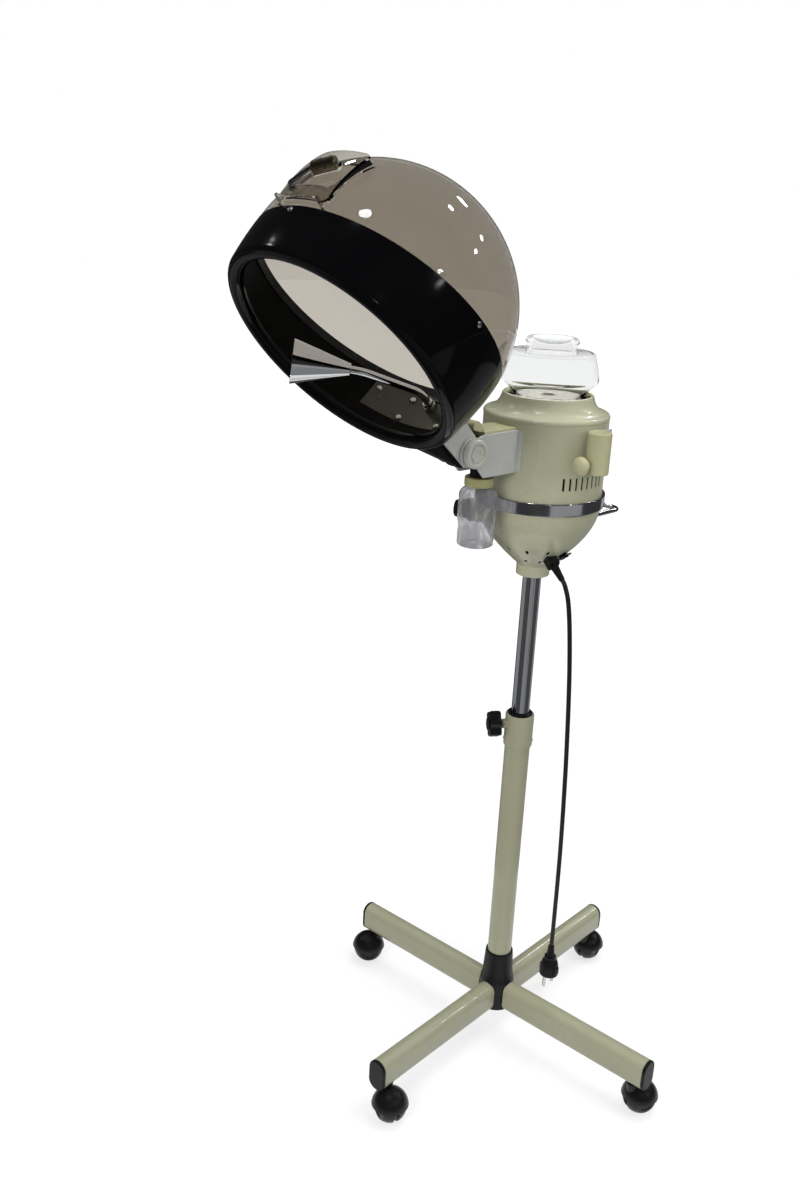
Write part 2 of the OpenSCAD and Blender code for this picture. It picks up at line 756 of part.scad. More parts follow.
// Gland block with its tapered strain relief
module strain_relief() {
    color("#141414") difference() {
        at_bowl(gland_turn, gland_reach, gland_z, gland_drop) {
            translate([-6, -7.5, -7.5]) cube([gland_len + 6, 15, 15]);
            rod_x(5, -12, 0);
            translate([gland_len, 0, 0]) rotate([0, 90, 0])
                cylinder(r1 = cord_d / 2 + 2.6, r2 = cord_d / 2 + 0.9, h = relief_len);
        }
        difference() {
            bowl_core();
            at_bowl(gland_turn, gland_reach, gland_z, gland_drop) rod_x(5, -12, 4);
        }
    }
}

// Smooth route through the lead's points
function bent(p0, p1, p2, p3, t) = 0.5 * (2 * p1 + (p2 - p0) * t + (2 * p0 - 5 * p1 + 4 * p2 - p3) * t * t
    + (3 * p1 - p0 - 3 * p2 + p3) * t * t * t);
function smooth_route(r, n) = let (last = len(r) - 1) concat(
    [for (i = [0:last - 1], j = [0:n - 1])
        bent(r[max(i - 1, 0)], r[i], r[i + 1], r[min(i + 2, last)], j / n)],
    [r[last]]);

module power_cord() {
    path = smooth_route(cord_route, cord_steps);
    last = len(path) - 1;
    n = cord_sides;
    rings = [for (i = [0:last])
        let (t = i == 0 ? unit(path[1] - path[0]) : i == last ? [0, 0, -1] : unit(path[i + 1] - path[i - 1]),
            u = unit(cross([0, 1, 0], t)), v = cross(t, u))
        [for (k = [0:n - 1]) path[i] + cord_d / 2 * (cos(360 * k / n) * u + sin(360 * k / n) * v)]];
    pts = [for (r = rings, p = r) p];
    sides = [for (i = [0:last - 1], k = [0:n - 1]) let (a = i * n + k, b = i * n + (k + 1) % n)
        each [[a, a + n, b], [b, a + n, b + n]]];
    ends = [for (k = [1:n - 2]) each [[0, k, k + 1], [last * n, last * n + k + 1, last * n + k]]];
    color("#101010") polyhedron(points = pts, faces = concat(sides, ends));
}

// Mains plug hanging pins down on the lead's end
module plug() {
    pin_r = 2.4;
    pin_len = 19;
    color("#121212") translate([plug_xy[0], plug_xy[1], 0]) {
        translate([0, 0, plug_top - 18]) cylinder(r1 = cord_d / 2 + 2.4, r2 = cord_d / 2 + 0.8, h = 18);
        translate([0, 0, plug_top - 23]) cylinder(r = 9, h = 5);
        translate([0, 0, plug_top - 29]) cylinder(r1 = 14.5, r2 = 10, h = 6);
        translate([0, 0, plug_top - 50]) cylinder(r1 = 15.5, r2 = 14.5, h = 21);
    }
    color("silver") for (s = [-1, 1]) translate([plug_xy[0], plug_xy[1] + s * 9.5, plug_top - 50 - pin_len])
        cylinder(r = pin_r, h = pin_len);
}

// Moves children to the socket's axis, with +X away from the mast and +Y back along the casing
module at_socket() {
    rotate([0, 0, socket_turn]) children();
}

module socket_plate() {
    color("#b4b6b0") at_socket() difference() {
        union() {
            translate([socket_face - socket_plate_t, -8, socket_z + 2]) cube([socket_plate_t, plate_reach + 8, socket_h - 4]);
            translate([socket_face - socket_plate_t, plate_reach - 11, socket_z + 2])
                cube([socket_plate_t, 11, socket_h + 14]);
            translate([socket_face - 12, -8, socket_z + 8]) cube([12, 20, socket_h - 16]);
        }
        rotate([0, 0, -socket_turn]) translate([0, 0, socket_z - cut]) cylinder(r = unit_r, h = socket_h + 20);
    }
}

module accessory_socket() {
    color("#c2bf9c") at_socket() difference() {
        union() {
            translate([socket_mid, 0, socket_z]) cylinder(r = socket_r, h = socket_h);
            translate([socket_face, -11, socket_z]) cube([socket_r, 22, socket_h]);
            translate([socket_mid, 0, clamp_z]) rotate([90, 0, 0]) cylinder(r = 8, h = socket_r + 3);
        }
        translate([socket_mid, 0, socket_z + socket_h - socket_bore_h])
            cylinder(r = socket_bore_r, h = socket_bore_h + cut);
        translate([socket_mid, 0, clamp_z]) rotate([90, 0, 0])
            cylinder(r = clamp_screw_r + run, h = socket_r + 5);
    }
}

module socket_knob() {
    color("#c6c3a0") at_socket() translate([socket_mid, -(socket_r + 3 + gap), clamp_z]) rotate([90, 0, 0]) {
        translate([0, 0, -(socket_r + 3 + gap) + socket_bore_r + 1]) cylinder(r = clamp_screw_r, h = socket_r);
        cylinder(r = 7, h = 5);
        translate([0, 0, 2]) rotate_extrude() polygon(concat([[0, 0]],
            curve([7, 0], [clamp_r + 1, 1], [clamp_r + 4, 14.5], [0, 15], 14)));
    }
}

// Outline in the side plane, the first number along Y and the second along Z
module side_plate(x0, x1, outline) {
    translate([x0, 0, 0]) rotate([90, 0, 90]) linear_extrude(x1 - x0) polygon(outline);
}

// Cylinder along X through the tilt pivot
module at_pivot(r, x0, x1) {
    translate([0, -pivot_reach, pivot_z]) rod_x(r, x0, x1);
}

module arm_bracket() {
    face = -pivot_reach;
    outline = [
        [-30, arm_foot], [face + 25, arm_foot + 1], [face + 11, pivot_z - 19], [face, pivot_z - 19],
        [face, pivot_z + 19], [face + 9, pivot_z + 18], [face + 20, arm_top], [-30, arm_top]];
    color("#a9aaa2") difference() {
        union() {
            for (s = [-1, 1]) {
                side_plate(s > 0 ? arm_in : -arm_half, s > 0 ? arm_half : -arm_in, outline);
                at_pivot(pivot_end_r, s > 0 ? arm_in : -arm_half, s > 0 ? arm_half : -arm_in);
            }
            translate([-arm_in - cut, -unit_r - 4, arm_foot]) cube([2 * arm_in + 2 * cut, 20, 8]);
        }
        translate([0, 0, arm_foot - cut]) cylinder(r = unit_r, h = arm_h + 2 * cut);
        translate([-unit_r, -30, arm_foot - cut]) cube([2 * unit_r, unit_r, arm_h + 2 * cut]);
        at_pivot(bolt_r + run, -arm_half - cut, arm_half + cut);
    }
}

// Cream cover over the bracket's channel, with a rounded lobe over the drum
module arm_cover() {
    face = -pivot_reach;
    color("#c2bf9c") difference() {
        union() {
            side_plate(-arm_in, arm_in, [[-60, arm_top - 10], [face + 25, arm_top - 4], [face + 24, arm_top + 4],
                [-84, arm_top + 3], [-60, arm_top + 3]]);
            side_plate(-cover_half, cover_half, [[face + 30, arm_top - 3], [face + 26, arm_top + 1],
                [face + 15, arm_top + 3], [face + 15, arm_top + 17], [face + 20, arm_top + 16],
                [face + 30, arm_top + 4]]);
            translate([0, face + 15, arm_top + 10]) rod_x(7, -cover_half, cover_half);
        }
        translate([0, 0, arm_foot]) cylinder(r = unit_r, h = 2 * arm_h);
    }
}

// Fixed end of the steam duct: pipe from the casing, open yoke round the drum, drain boss
module steam_duct() {
    color("#181818") translate([0, 0, pivot_z - 6]) rotate([90, 0, 0]) difference() {
        translate([0, 0, boiler_r - 1]) cylinder(r = duct_inner_r, h = unit_r - boiler_r + 3);
        cylinder(r = duct_bore_r, h = unit_r + 5);
        rotate([-90, 0, 0]) translate([0, 0, -boiler_h]) cylinder(r = boiler_r, h = 2 * boiler_h);
    }
    color("#181818") difference() {
        union() {
            translate([0, -pivot_reach + yoke_r + 1, pivot_z - 6]) rotate([-90, 0, 0])
                cylinder(r = duct_r, h = pivot_reach - unit_r - yoke_r + 4);
            translate([0, -pivot_reach, pivot_z]) rotate([0, 90, 0]) rotate([0, 0, 47])
                translate([0, 0, -drum_half]) rotate_extrude(angle = 96)
                translate([yoke_r, 0]) square([yoke_t, 2 * drum_half]);
            translate([0, -bottle_reach, cap_z + cap_h]) cylinder(r = duct_r, h = pivot_z - 6 - cap_z - cap_h);
        }
        translate([0, -pivot_reach, pivot_z - 6]) rotate([-90, 0, 0]) cylinder(r = duct_bore_r, h = pivot_reach);
        at_pivot(yoke_r, -arm_half, arm_half);
        translate([0, 0, arm_foot]) cylinder(r = unit_r, h = arm_h);
        translate([0, -bottle_reach, cap_z]) cylinder(r = 5, h = pivot_z - 6 - cap_z);
    }
}

module pivot_bolt() {
    color("silver") {
        at_pivot(bolt_r, -arm_half - 4, arm_half + tilt_knob_t - 3);
        translate([0, -pivot_reach, pivot_z]) rotate([0, -90, 0]) translate([0, 0, arm_half])
            cylinder(r1 = 10, r2 = 7, h = 5);
    }
}

// Tilt knob with a six-sided recess in its face
module pivot_knob() {
    color("#acada4") difference() {
        translate([0, -pivot_reach, pivot_z]) rotate([0, 90, 0]) translate([0, 0, arm_half + gap]) {
            cylinder(r = tilt_knob_r, h = tilt_knob_t - 2.5);
            translate([0, 0, tilt_knob_t - 2.5]) cylinder(r1 = tilt_knob_r, r2 = tilt_knob_r - 2.5, h = 2.5);
        }
        translate([arm_half + gap + tilt_knob_t - 2, -pivot_reach, pivot_z]) rotate([0, 90, 0])
            cylinder(r = tilt_knob_r - 7, h = 3, $fn = 6);
        at_pivot(bolt_r + run, arm_half, arm_half + tilt_knob_t - 2.5);
    }
}

module bottle_cap() {
    color("#b5b18a") translate([0, -bottle_reach, cap_z]) difference() {
        cylinder(r = cap_r, h = cap_h);
        translate([0, 0, -cut]) cylinder(r = bottle_neck_r + run, h = cap_h - 3 + cut);
        cylinder(r = 5, h = cap_h + cut);
    }
}

module bottle() {
    shoulder = bottle_h - 16;
    line = concat([[bottle_r - 3, 0], [bottle_r, 3], [bottle_r, shoulder - 10]],
        curve([bottle_r, shoulder - 8], [bottle_r, shoulder - 2], [bottle_neck_r + 4, shoulder - 1],
            [bottle_neck_r, shoulder + 2], 6),
        [[bottle_neck_r, bottle_h]]);
    inner = concat([[0, bottle_wall], [bottle_r - 3 - bottle_wall, bottle_wall],
        [bottle_r - bottle_wall, 3 + bottle_wall], [bottle_r - bottle_wall, shoulder - 10]],
        [for (p = curve([bottle_r, shoulder - 8], [bottle_r, shoulder - 2], [bottle_neck_r + 4, shoulder - 1],
            [bottle_neck_r, shoulder + 2], 6)) [p[0] - bottle_wall, p[1] - bottle_wall / 2]],
        [[bottle_neck_r - bottle_wall, bottle_h + cut], [0, bottle_h + cut]]);
    color("#cfd2d8", 0.5) translate([0, -bottle_reach, bottle_z]) difference() {
        rotate_extrude() polygon(concat([[0, 0]], line, [[0, bottle_h]]));
        rotate_extrude() polygon(inner);
    }
}

// Moves children from the hood's own frame to the hood at rest
module at_hood() {
    translate([0, -pivot_reach, pivot_z]) rotate([-hood_tilt, 0, 0])
        translate([0, -hood_offset, hood_drop]) children();
}

// Radius of the outer wall at a height along the hood's axis
function wall_r(z) = z > 0 ? sqrt(dome_r * dome_r - z * z) : dome_r - (dome_r - lip_out) * pow(z / band_h, 2);
function wall_line(z0, z1, by, n) = [for (i = [0:n]) let (z = z0 + (z1 - z0) * i / n) [wall_r(z) + by, z]];

// Ring between two offsets of the band's wall
module wall_ring(z0, z1, by0, by1) {
    n = round((z1 - z0) / 6);
    rotate_extrude() polygon(concat(wall_line(z0, z1, by1, n), reversed(wall_line(z0, z1, by0, n))));
}

// Solid that fills the outer wall, grown outwards by a thickness
module wall_core(by) {
    rotate_extrude() polygon(concat([[0, -band_h - 5]], wall_line(-band_h - 5, 30, by, 16), [[0, 30]]));
}

// Turns children to the rear of the hood's wall, at a sideways place and a height, +Z outwards
module at_rear(x, z) {
    rotate([0, 0, -asin(x / wall_r(z))]) translate([0, 0, z]) rotate([-90, 0, 0]) children();
}

// Everything above the seam, raised by lift
module above_seam(lift) {
    translate([0, 0, seam_z]) rotate([seam_tilt, 0, 0])
        translate([-2 * dome_r, -2 * dome_r, lift]) cube(4 * dome_r);
}

module below_seam(drop) {
    translate([0, 0, seam_z]) rotate([seam_tilt, 0, 0])
        translate([-2 * dome_r, -2 * dome_r, -4 * dome_r - drop]) cube(4 * dome_r);
}

module band() {
    color("#0c0c0e") at_hood() difference() {
        union() {
            wall_ring(-band_h, 30, -dome_wall, 0);
            translate([0, 0, -band_h]) rotate_extrude() translate([lip_r, 0]) difference() {
                circle(r = roll_r);
                circle(r = roll_r - 2.5);
                translate([-roll_r, 0]) square([roll_r + 2, roll_r]);
            }
        }
        above_seam(0);
        rear_bores();
        rear_seats();
        at_rear(0, riser_z) cylinder(r = pipe_r + run, h = 2 * dome_r);
        at_rim_rivets() {
            translate([0, 0, -2 * dome_wall]) cylinder(r = rim_rivet_r, h = 4 * dome_wall);
            cylinder(r = 3.5, h = 4);
        }
    }
    color("#0c0c0e") at_hood() for (s = [-1, 1]) hinge_lug(s * (flap_half - lug_t / 2));
}

// Lug that stands on the band just below the seam and holds the flap's pin
module hinge_lug(x) {
    y = flap_hinge[1];
    z = flap_hinge[2];
    difference() {
        union() {
            translate([x, y, z]) rod_x(flap_pin_r + 1, -lug_t / 2, lug_t / 2);
            side_plate(x - lug_t / 2, x + lug_t / 2,
                [[y - 2.6, z - 1.5], [y + 5, z - 12], [y + 11, z - 12], [y + 11, z - 4], [y + 1.2, z + 2.7]]);
        }
        translate([x, flap_hinge[1], flap_hinge[2]]) rod_x(flap_pin_r + run, -lug_t, lug_t);
    }
}

// Flat seats in the curved pieces for the heads inside and the nuts outside
module rear_seats() {
    in_t = dome_wall + back_t;
    for (s = [-1, 1]) {
        for (z = bolt_zs) at_rear(s * bolt_x, z) translate([0, 0, wall_r(z) - in_t]) {
            translate([0, 0, -8]) cylinder(r = 4.7, h = 8);
            translate([0, 0, in_t + flange_t]) cylinder(r = 4.7, h = 8);
        }
        for (i = [0, 1]) at_rear(s * rivet_xs[i], rivet_zs[i]) translate([0, 0, wall_r(rivet_zs[i]) - in_t]) {
            translate([0, 0, -8]) cylinder(r = 4.1, h = 8);
            translate([0, 0, in_t]) cylinder(r = 3.5, h = 8);
        }
    }
}

// Bores for the bracket's bolts and the back plate's rivets
module rear_bores() {
    for (s = [-1, 1]) {
        for (z = bolt_zs) at_rear(s * bolt_x, z) cylinder(r = rear_screw_r, h = 2 * dome_r);
        for (i = [0, 1]) at_rear(s * rivet_xs[i], rivet_zs[i]) cylinder(r = rivet_r, h = 2 * dome_r);
    }
}

module dome() {
    seam = seam_z * cos(seam_tilt);
    color("#7d746a", 0.75) at_hood() difference() {
        rotate([seam_tilt, 0, 0]) rotate_extrude() intersection() {
            difference() {
                circle(r = dome_r);
                circle(r = dome_r - dome_wall);
            }
            translate([0, seam]) square(dome_r + cut);
        }
        translate([-flap_half + 8, -dome_r - cut, 14]) cube([2 * flap_half - 16, dome_r / 2, flap_h - 34]);
    }
}

// Ring inside the seam that holds the dome and the band together
module inner_ring() {
    seam = seam_z * cos(seam_tilt);
    color("#2a2a2c") at_hood() rotate([seam_tilt, 0, 0]) rotate_extrude() intersection() {
        difference() {
            circle(r = dome_r - dome_wall - 0.1);
            circle(r = dome_r - dome_wall - 2.1);
        }
        translate([0, seam - ring_half]) square([dome_r, 2 * ring_half]);
    }
}

// Places just below the seam, +Z outwards from the wall's outer face
module at_rim_rivets() {
    for (a = [-96, -6, 84, 174]) rotate([0, 0, a])
        let (z = seam_z - tan(seam_tilt) * dome_r * cos(a) - 6)
        translate([0, -wall_r(z), z]) rotate([90, 0, 0]) children();
}

module rim_rivets() {
    color("silver") at_hood() at_rim_rivets() {
        translate([0, 0, -dome_wall]) cylinder(r = rim_rivet_r, h = dome_wall);
        cylinder(r1 = 3.4, r2 = 2, h = 1.6);
    }
}

// Bracket on the hood: curved flange on the band and two plates that run inside the arm
module hood_bracket() {
    outline = [
        [hood_offset + 13, -hood_drop - 14], [hood_offset + 4, -hood_drop - 19.3],
        [hood_offset - 43, -31], [shoe_in, -41], [shoe_in, 14], [hood_offset - 28, 13],
        [hood_offset, -hood_drop + 20], [hood_offset + 14, -hood_drop + 14]];
    color("#a9aaa2") at_hood() difference() {
        union() {
            for (s = [-1, 1]) {
                side_plate(s > 0 ? hood_in : -hood_half, s > 0 ? hood_half : -hood_in, outline);
                translate([0, hood_offset, -hood_drop])
                    rod_x(pivot_end_r, s > 0 ? hood_in : -hood_half, s > 0 ? hood_half : -hood_in);
            }
            intersection() {
                wall_ring(flange_low, flange_high, 0, flange_t);
                translate([-flange_half, dome_r / 2, flange_low])
                    cube([2 * flange_half, dome_r, flange_high - flange_low + 2]);
            }
        }
        wall_core(0);
        translate([0, hood_offset, -hood_drop]) rod_x(bolt_r + run, -arm_half, arm_half);
        rear_bores();
        rear_seats();
        at_rear(0, riser_z) cylinder(r = pipe_r + 1, h = 2 * dome_r);
    }
}

// Black duct that turns with the hood: drum on the tilt bolt, shoe on the band
module hood_duct() {
    color("#121213") at_hood() difference() {
        union() {
            translate([0, hood_offset, -hood_drop]) rod_x(drum_r, -drum_half, drum_half);
            hull() {
                translate([0, hood_offset, -hood_drop]) rotate([0, 90, 0])
                    cylinder(r = drum_r - 1, h = 2 * drum_half - 2, center = true, $fn = 32);
                translate([-15.5, shoe_in, -62]) cube([31, 12, 64]);
            }
        }
        wall_core(0);
        intersection() {
            wall_core(flange_t);
            translate([-flange_half, dome_r / 2, flange_low]) cube([2 * flange_half, dome_r, 100]);
        }
        translate([0, hood_offset, -hood_drop]) rod_x(bolt_r + run, -arm_half, arm_half);
        hull() {
            translate([0, shoe_in, riser_z]) rotate([-90, 0, 0]) cylinder(r = duct_bore_r, h = 30, $fn = 32);
            translate([0, hood_offset - 14, -hood_drop - 4]) sphere(r = 6, $fn = 32);
        }
    }
}

// Curved brown steel plate inside the band that spreads the bracket's load
module back_plate() {
    color("#3b3528") at_hood() difference() {
        intersection() {
            wall_ring(plate_low, plate_high, -dome_wall - back_t, -dome_wall - 0.08);
            translate([-plate_half, dome_r / 3, plate_low]) cube([2 * plate_half, dome_r, plate_high - plate_low]);
        }
        rear_bores();
        rear_seats();
        at_rear(0, riser_z) cylinder(r = pipe_r + 1, h = 2 * dome_r);
    }
}

// Four bracket bolts with washers and four rivets through the back plate
module plate_screws() {
    in_t = dome_wall + back_t;
    color("silver") at_hood() for (s = [-1, 1]) {
        for (z = bolt_zs) at_rear(s * bolt_x, z) translate([0, 0, wall_r(z) - in_t]) {
            translate([0, 0, -2]) cylinder(r = rear_screw_r, h = in_t + flange_t + 4);
            translate([0, 0, -2.6]) cylinder(r1 = 3.6, r2 = 4.6, h = 2.6);
            translate([0, 0, in_t + flange_t]) cylinder(r = 4.5, h = 2.4, $fn = 6);
        }
        for (i = [0, 1]) at_rear(s * rivet_xs[i], rivet_zs[i]) translate([0, 0, wall_r(rivet_zs[i]) - in_t]) {
            translate([0, 0, -1.4]) cylinder(r1 = 2.4, r2 = 4, h = 1.4);
            cylinder(r = rivet_r, h = in_t);
            translate([0, 0, in_t]) cylinder(r1 = 3.4, r2 = 2, h = 1.2);
        }
    }
}

// Steam pipe with its union nut; it turns in the band about its riser
module steam_pipe() {
    reach = cone_end - pipe_mid;
    side = atan2(reach[2], -reach[0]);
    bend = acos(-unit(reach)[1]);
    straight = norm(reach) - cone_len + 4 - pipe_turn * tan(bend / 2);
    rear = wall_r(riser_z);
    color("#dcdcdc") at_hood() translate(pipe_mid) {
        at_rear_union(rear - pipe_mid[1]);
        rotate([0, side, 0]) {
            translate([0, pipe_turn * tan(bend / 2), 0]) rotate([-90, 0, 0])
                pipe(rear + flange_t + 4 - pipe_mid[1] - pipe_turn * tan(bend / 2));
            translate([-pipe_turn, pipe_turn * tan(bend / 2), 0]) rotate([0, 0, -bend])
                rotate_extrude(angle = bend) translate([pipe_turn, 0]) pipe_ring();
            rotate([0, 0, -bend]) translate([0, -pipe_turn * tan(bend / 2), 0]) rotate([90, 0, 0]) pipe(straight);
        }
    }
}

module pipe_ring() {
    difference() {
        circle(r = pipe_r);
        circle(r = pipe_r - 1.2);
    }
}

module pipe(h) {
    linear_extrude(h) pipe_ring();
}

// Union nut and its collar round the riser, just inside the back plate
module at_rear_union(face) {
    rotate([-90, 0, 0]) difference() {
        union() {
            translate([0, 0, face - dome_wall - 9]) cylinder(r = 9, h = 7, $fn = 6);
            translate([0, 0, face - dome_wall - 14]) cylinder(r = 7, h = 5);
        }
        cylinder(r = pipe_r, h = face);
    }
}

// Turns +Z to a direction
module along(dir) {
    rotate([0, acos(dir[2]), atan2(dir[1], dir[0])]) children();
}

module nozzle() {
    dir = unit(cone_end - pipe_mid);
    start = cone_end - dir * cone_len;
    mouth = pipe_r + 1.5;
    color("#dcdcdc") at_hood() translate(start) along(dir) difference() {
        cylinder(r1 = mouth, r2 = cone_r, h = cone_len);
        translate([0, 0, 6]) cylinder(r1 = mouth - cone_wall + (cone_r - mouth) * 6 / cone_len,
            r2 = cone_r - cone_wall, h = cone_len - 6);
        translate([0, 0, -cut]) cylinder(r = pipe_r, h = 7 + cut);
    }
}

// Turns the flap's pieces open about its hinge from the closed place
module at_flap() {
    at_hood() translate(flap_hinge) rotate([flap_rest, 0, 0]) translate(-flap_hinge) children();
}

// Turns +Z from one place towards another and moves there
module from_to(a, b) {
    translate(a) along(unit(b - a)) children();
}

module flap() {
    color("#857c70", 0.75) at_flap() {
        difference() {
            intersection() {
                difference() {
                    sphere(r = flap_r + flap_t);
                    sphere(r = flap_r);
                }
                translate([-flap_half, -2 * dome_r, flap_hinge[2] + 4]) cube([2 * flap_half, 1.6 * dome_r, flap_h]);
            }
            from_to(lever_bend, lever_end) translate([0, 0, 1]) cylinder(r = flap_grip_r + 1.5, h = grip_len + 1);
        }
        translate([0, flap_hinge[1], flap_hinge[2]]) rod_x(flap_pin_r, -flap_half + 0.5, flap_half - 0.5);
        translate([0, flap_hinge[1], flap_hinge[2]]) rod_x(3.2, -flap_half + 4.5, flap_half - 4.5);
        translate([-flap_half + 4.5, flap_hinge[1] - 1, flap_hinge[2]]) cube([2 * flap_half - 9, 5, 7]);
    }
}

// Lever wire that stands on the flap, bends along it and carries the knurled grip
module flap_rod() {
    foot = unit(lever_foot) * (flap_r + flap_t);
    color("#d8d8d8") at_flap() {
        from_to(foot, lever_foot) cylinder(r = 4, h = norm(lever_foot - foot) + 2);
        translate(lever_foot) sphere(r = lever_r + 0.4);
        from_to(lever_foot, lever_bend) cylinder(r = lever_r, h = norm(lever_bend - lever_foot));
        translate(lever_bend) sphere(r = lever_r + 0.4);
        from_to(lever_bend, lever_end) cylinder(r = lever_r, h = norm(lever_end - lever_bend));
    }
}

module flap_knob() {
    color("#a58f62") at_flap() from_to(lever_bend, lever_end) translate([0, 0, 3]) difference() {
        cylinder(r = flap_grip_r, h = grip_len - 3);
        translate([0, 0, -cut]) cylinder(r = lever_r + run, h = grip_len - 3 + 2 * cut);
    }
}

hub();
leg(0);  // leg_right
leg(1);  // leg_back
leg(2);  // leg_left
leg(3);  // leg_front
leg_caps();
caster(0);  // caster_right
caster(1);  // caster_back
caster(2);  // caster_left
caster(3);  // caster_front
wheels(0);  // wheels_right
wheels(1);  // wheels_back
wheels(2);  // wheels_left
wheels(3);  // wheels_front
outer_tube();
collar();
collar_bush();
stand_screws();
star_knob();
chrome_mast();
mast_foot();
bowl();
chrome_band();
casing();
boiler();
heater();
boiler_gasket();
boiler_screws();
jar();
u_handle();
regulator_knob();
regulator_body();
switch_frame();
rocker();
strain_relief();
power_cord();
plug();
socket_plate();
accessory_socket();
socket_knob();
arm_bracket();
arm_cover();
steam_duct();
pivot_bolt();
pivot_knob();
bottle_cap();
bottle();
hood_bracket();
hood_duct();
band();
dome();
inner_ring();
rim_rivets();
back_plate();
plate_screws();
steam_pipe();
nozzle();
flap();
flap_rod();
flap_knob();
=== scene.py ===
# %% [markdown]
# # A hair steamer on a rolling stand
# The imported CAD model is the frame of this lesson. It says where every piece is and which
# body it moves with. Each cell below makes one piece or one finish around that frame.

import json
import math

import bmesh
import bpy
from mathutils import Matrix, Vector, noise

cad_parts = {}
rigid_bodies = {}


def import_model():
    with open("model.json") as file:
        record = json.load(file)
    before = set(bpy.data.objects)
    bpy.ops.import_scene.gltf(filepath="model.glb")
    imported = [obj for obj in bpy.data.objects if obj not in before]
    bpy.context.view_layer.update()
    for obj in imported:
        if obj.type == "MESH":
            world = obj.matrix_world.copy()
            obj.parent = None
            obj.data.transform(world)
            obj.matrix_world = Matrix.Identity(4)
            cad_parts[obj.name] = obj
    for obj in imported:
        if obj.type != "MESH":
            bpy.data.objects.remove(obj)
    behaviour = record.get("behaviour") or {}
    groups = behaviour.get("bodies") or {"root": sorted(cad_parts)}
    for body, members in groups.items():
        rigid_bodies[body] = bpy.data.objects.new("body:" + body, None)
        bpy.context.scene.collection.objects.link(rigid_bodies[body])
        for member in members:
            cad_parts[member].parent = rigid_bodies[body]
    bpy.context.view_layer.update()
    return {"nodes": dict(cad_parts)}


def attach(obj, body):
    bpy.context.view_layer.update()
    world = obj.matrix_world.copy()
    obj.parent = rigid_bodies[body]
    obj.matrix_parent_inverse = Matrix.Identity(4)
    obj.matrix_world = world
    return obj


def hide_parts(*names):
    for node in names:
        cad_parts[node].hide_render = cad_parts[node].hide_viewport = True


for leftover in list(bpy.data.objects):
    bpy.data.objects.remove(leftover)
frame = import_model()
scene = bpy.context.scene
scene.view_settings.view_transform = "Standard"

# %% [markdown]
# ## The camera
# The photograph was taken from the right of the hood, a little above it, with the camera rolled
# by about three degrees. A lens of 36 mm on a 36 mm sensor gives its perspective.

# %% Camera
def linked(name, data):
    """A new object that is in the scene."""
    thing = bpy.data.objects.new(name, data)
    scene.collection.objects.link(thing)
    return thing


EYE = Vector((1.0407, -1.2852, 1.3332))
SIGHT_RIGHT = Vector((0.6870, 0.7252, 0.0459))
SIGHT_UP = Vector((-0.2743, 0.2003, 0.9405))
camera_data = bpy.data.cameras.new("photo_camera")
camera_data.lens = 36.03
camera_data.sensor_width = 36.0
camera_data.clip_end = 60.0
camera_data.shift_x = 0.0012
camera = linked("photo_camera", camera_data)
sight = Matrix((SIGHT_RIGHT, SIGHT_UP, SIGHT_RIGHT.cross(SIGHT_UP))).transposed()
camera.matrix_world = Matrix.Translation(EYE) @ sight.to_4x4()
scene.camera = camera

# %% [markdown]
# ## Places on the steamer
# The CAD source works in millimetres, so the pieces do too, and each is scaled to metres when
# it is finished. These matrices are the places that pieces are turned onto: a leg, the bowl's
# skin, the hood and its flap.

# %% Measures and places
MM = 0.001
FLOOR_TO_LEG = 80
NECK = 797
BAND_FOOT = NECK + 108.5
RIM = 1057
JAR_FOOT = 1053
PIVOT = Vector((0, -171, 998))
UNIT_R = 86.5
STEM_REACH = 264
DRAIN = (0, -128)
REGULATOR_Z = 880
BASE_TURN = 4.5
CASTER_TURNS = {"right": 69.5, "back": 96.5, "left": 229.5, "front": 343.5}
LEG_TURNS = {"right": 0, "back": 90, "left": 180, "front": 270}


def moved(x, y, z):
    return Matrix.Translation((x, y, z))


def turned(degrees, axis):
    return Matrix.Rotation(math.radians(degrees), 4, axis)


def sideways(turn, height):
    """A place on the column's axis whose Z axis points straight out."""
    return turned(turn, "Z") @ moved(0, 0, height) @ turned(90, "Y")


def on_leg(leg, reach, height):
    return turned(BASE_TURN + LEG_TURNS[leg], "Z") @ moved(reach, 0, height)


def on_caster(leg):
    stem = on_leg(leg, STEM_REACH, 0).translation
    return Matrix.Translation(stem) @ turned(CASTER_TURNS[leg], "Z")


def on_bowl(turn, reach, height, drop):
    return turned(turn, "Z") @ moved(reach, 0, height) @ turned(drop, "Y")


TILT_AXLE = Matrix.Translation(PIVOT) @ turned(90, "Y")
SWITCH = on_bowl(3, 50, NECK + 39.6, 46)
GLAND = on_bowl(-22, 44, NECK + 37, 25)
KNOB_AXLE = sideways(210, REGULATOR_Z)
HOOD = Matrix.Translation(PIVOT) @ turned(-48.5, "X") @ moved(0, -240, 6)
FLAP_HINGE = Vector((0, -170.5, -10))
FLAP = HOOD @ Matrix.Translation(FLAP_HINGE) @ turned(6.5, "X") @ Matrix.Translation(-FLAP_HINGE)
DOME_R, WALL = 164.6, 3.0
SEAM_Z = 1.5
SEAM_TURN = turned(6.4, "X") @ turned(-1.5, "Y")
print("hood centre at", [round(v) for v in HOOD.translation])

# %% [markdown]
# ## Shader maths
# A finish is a Principled material with a few nodes in front of it. `Value` wraps the output of
# a node, so that `1 - mask * 0.4` adds the Math nodes by itself. `Finish.add` makes any other
# node from its type, its settings and the values of its sockets.

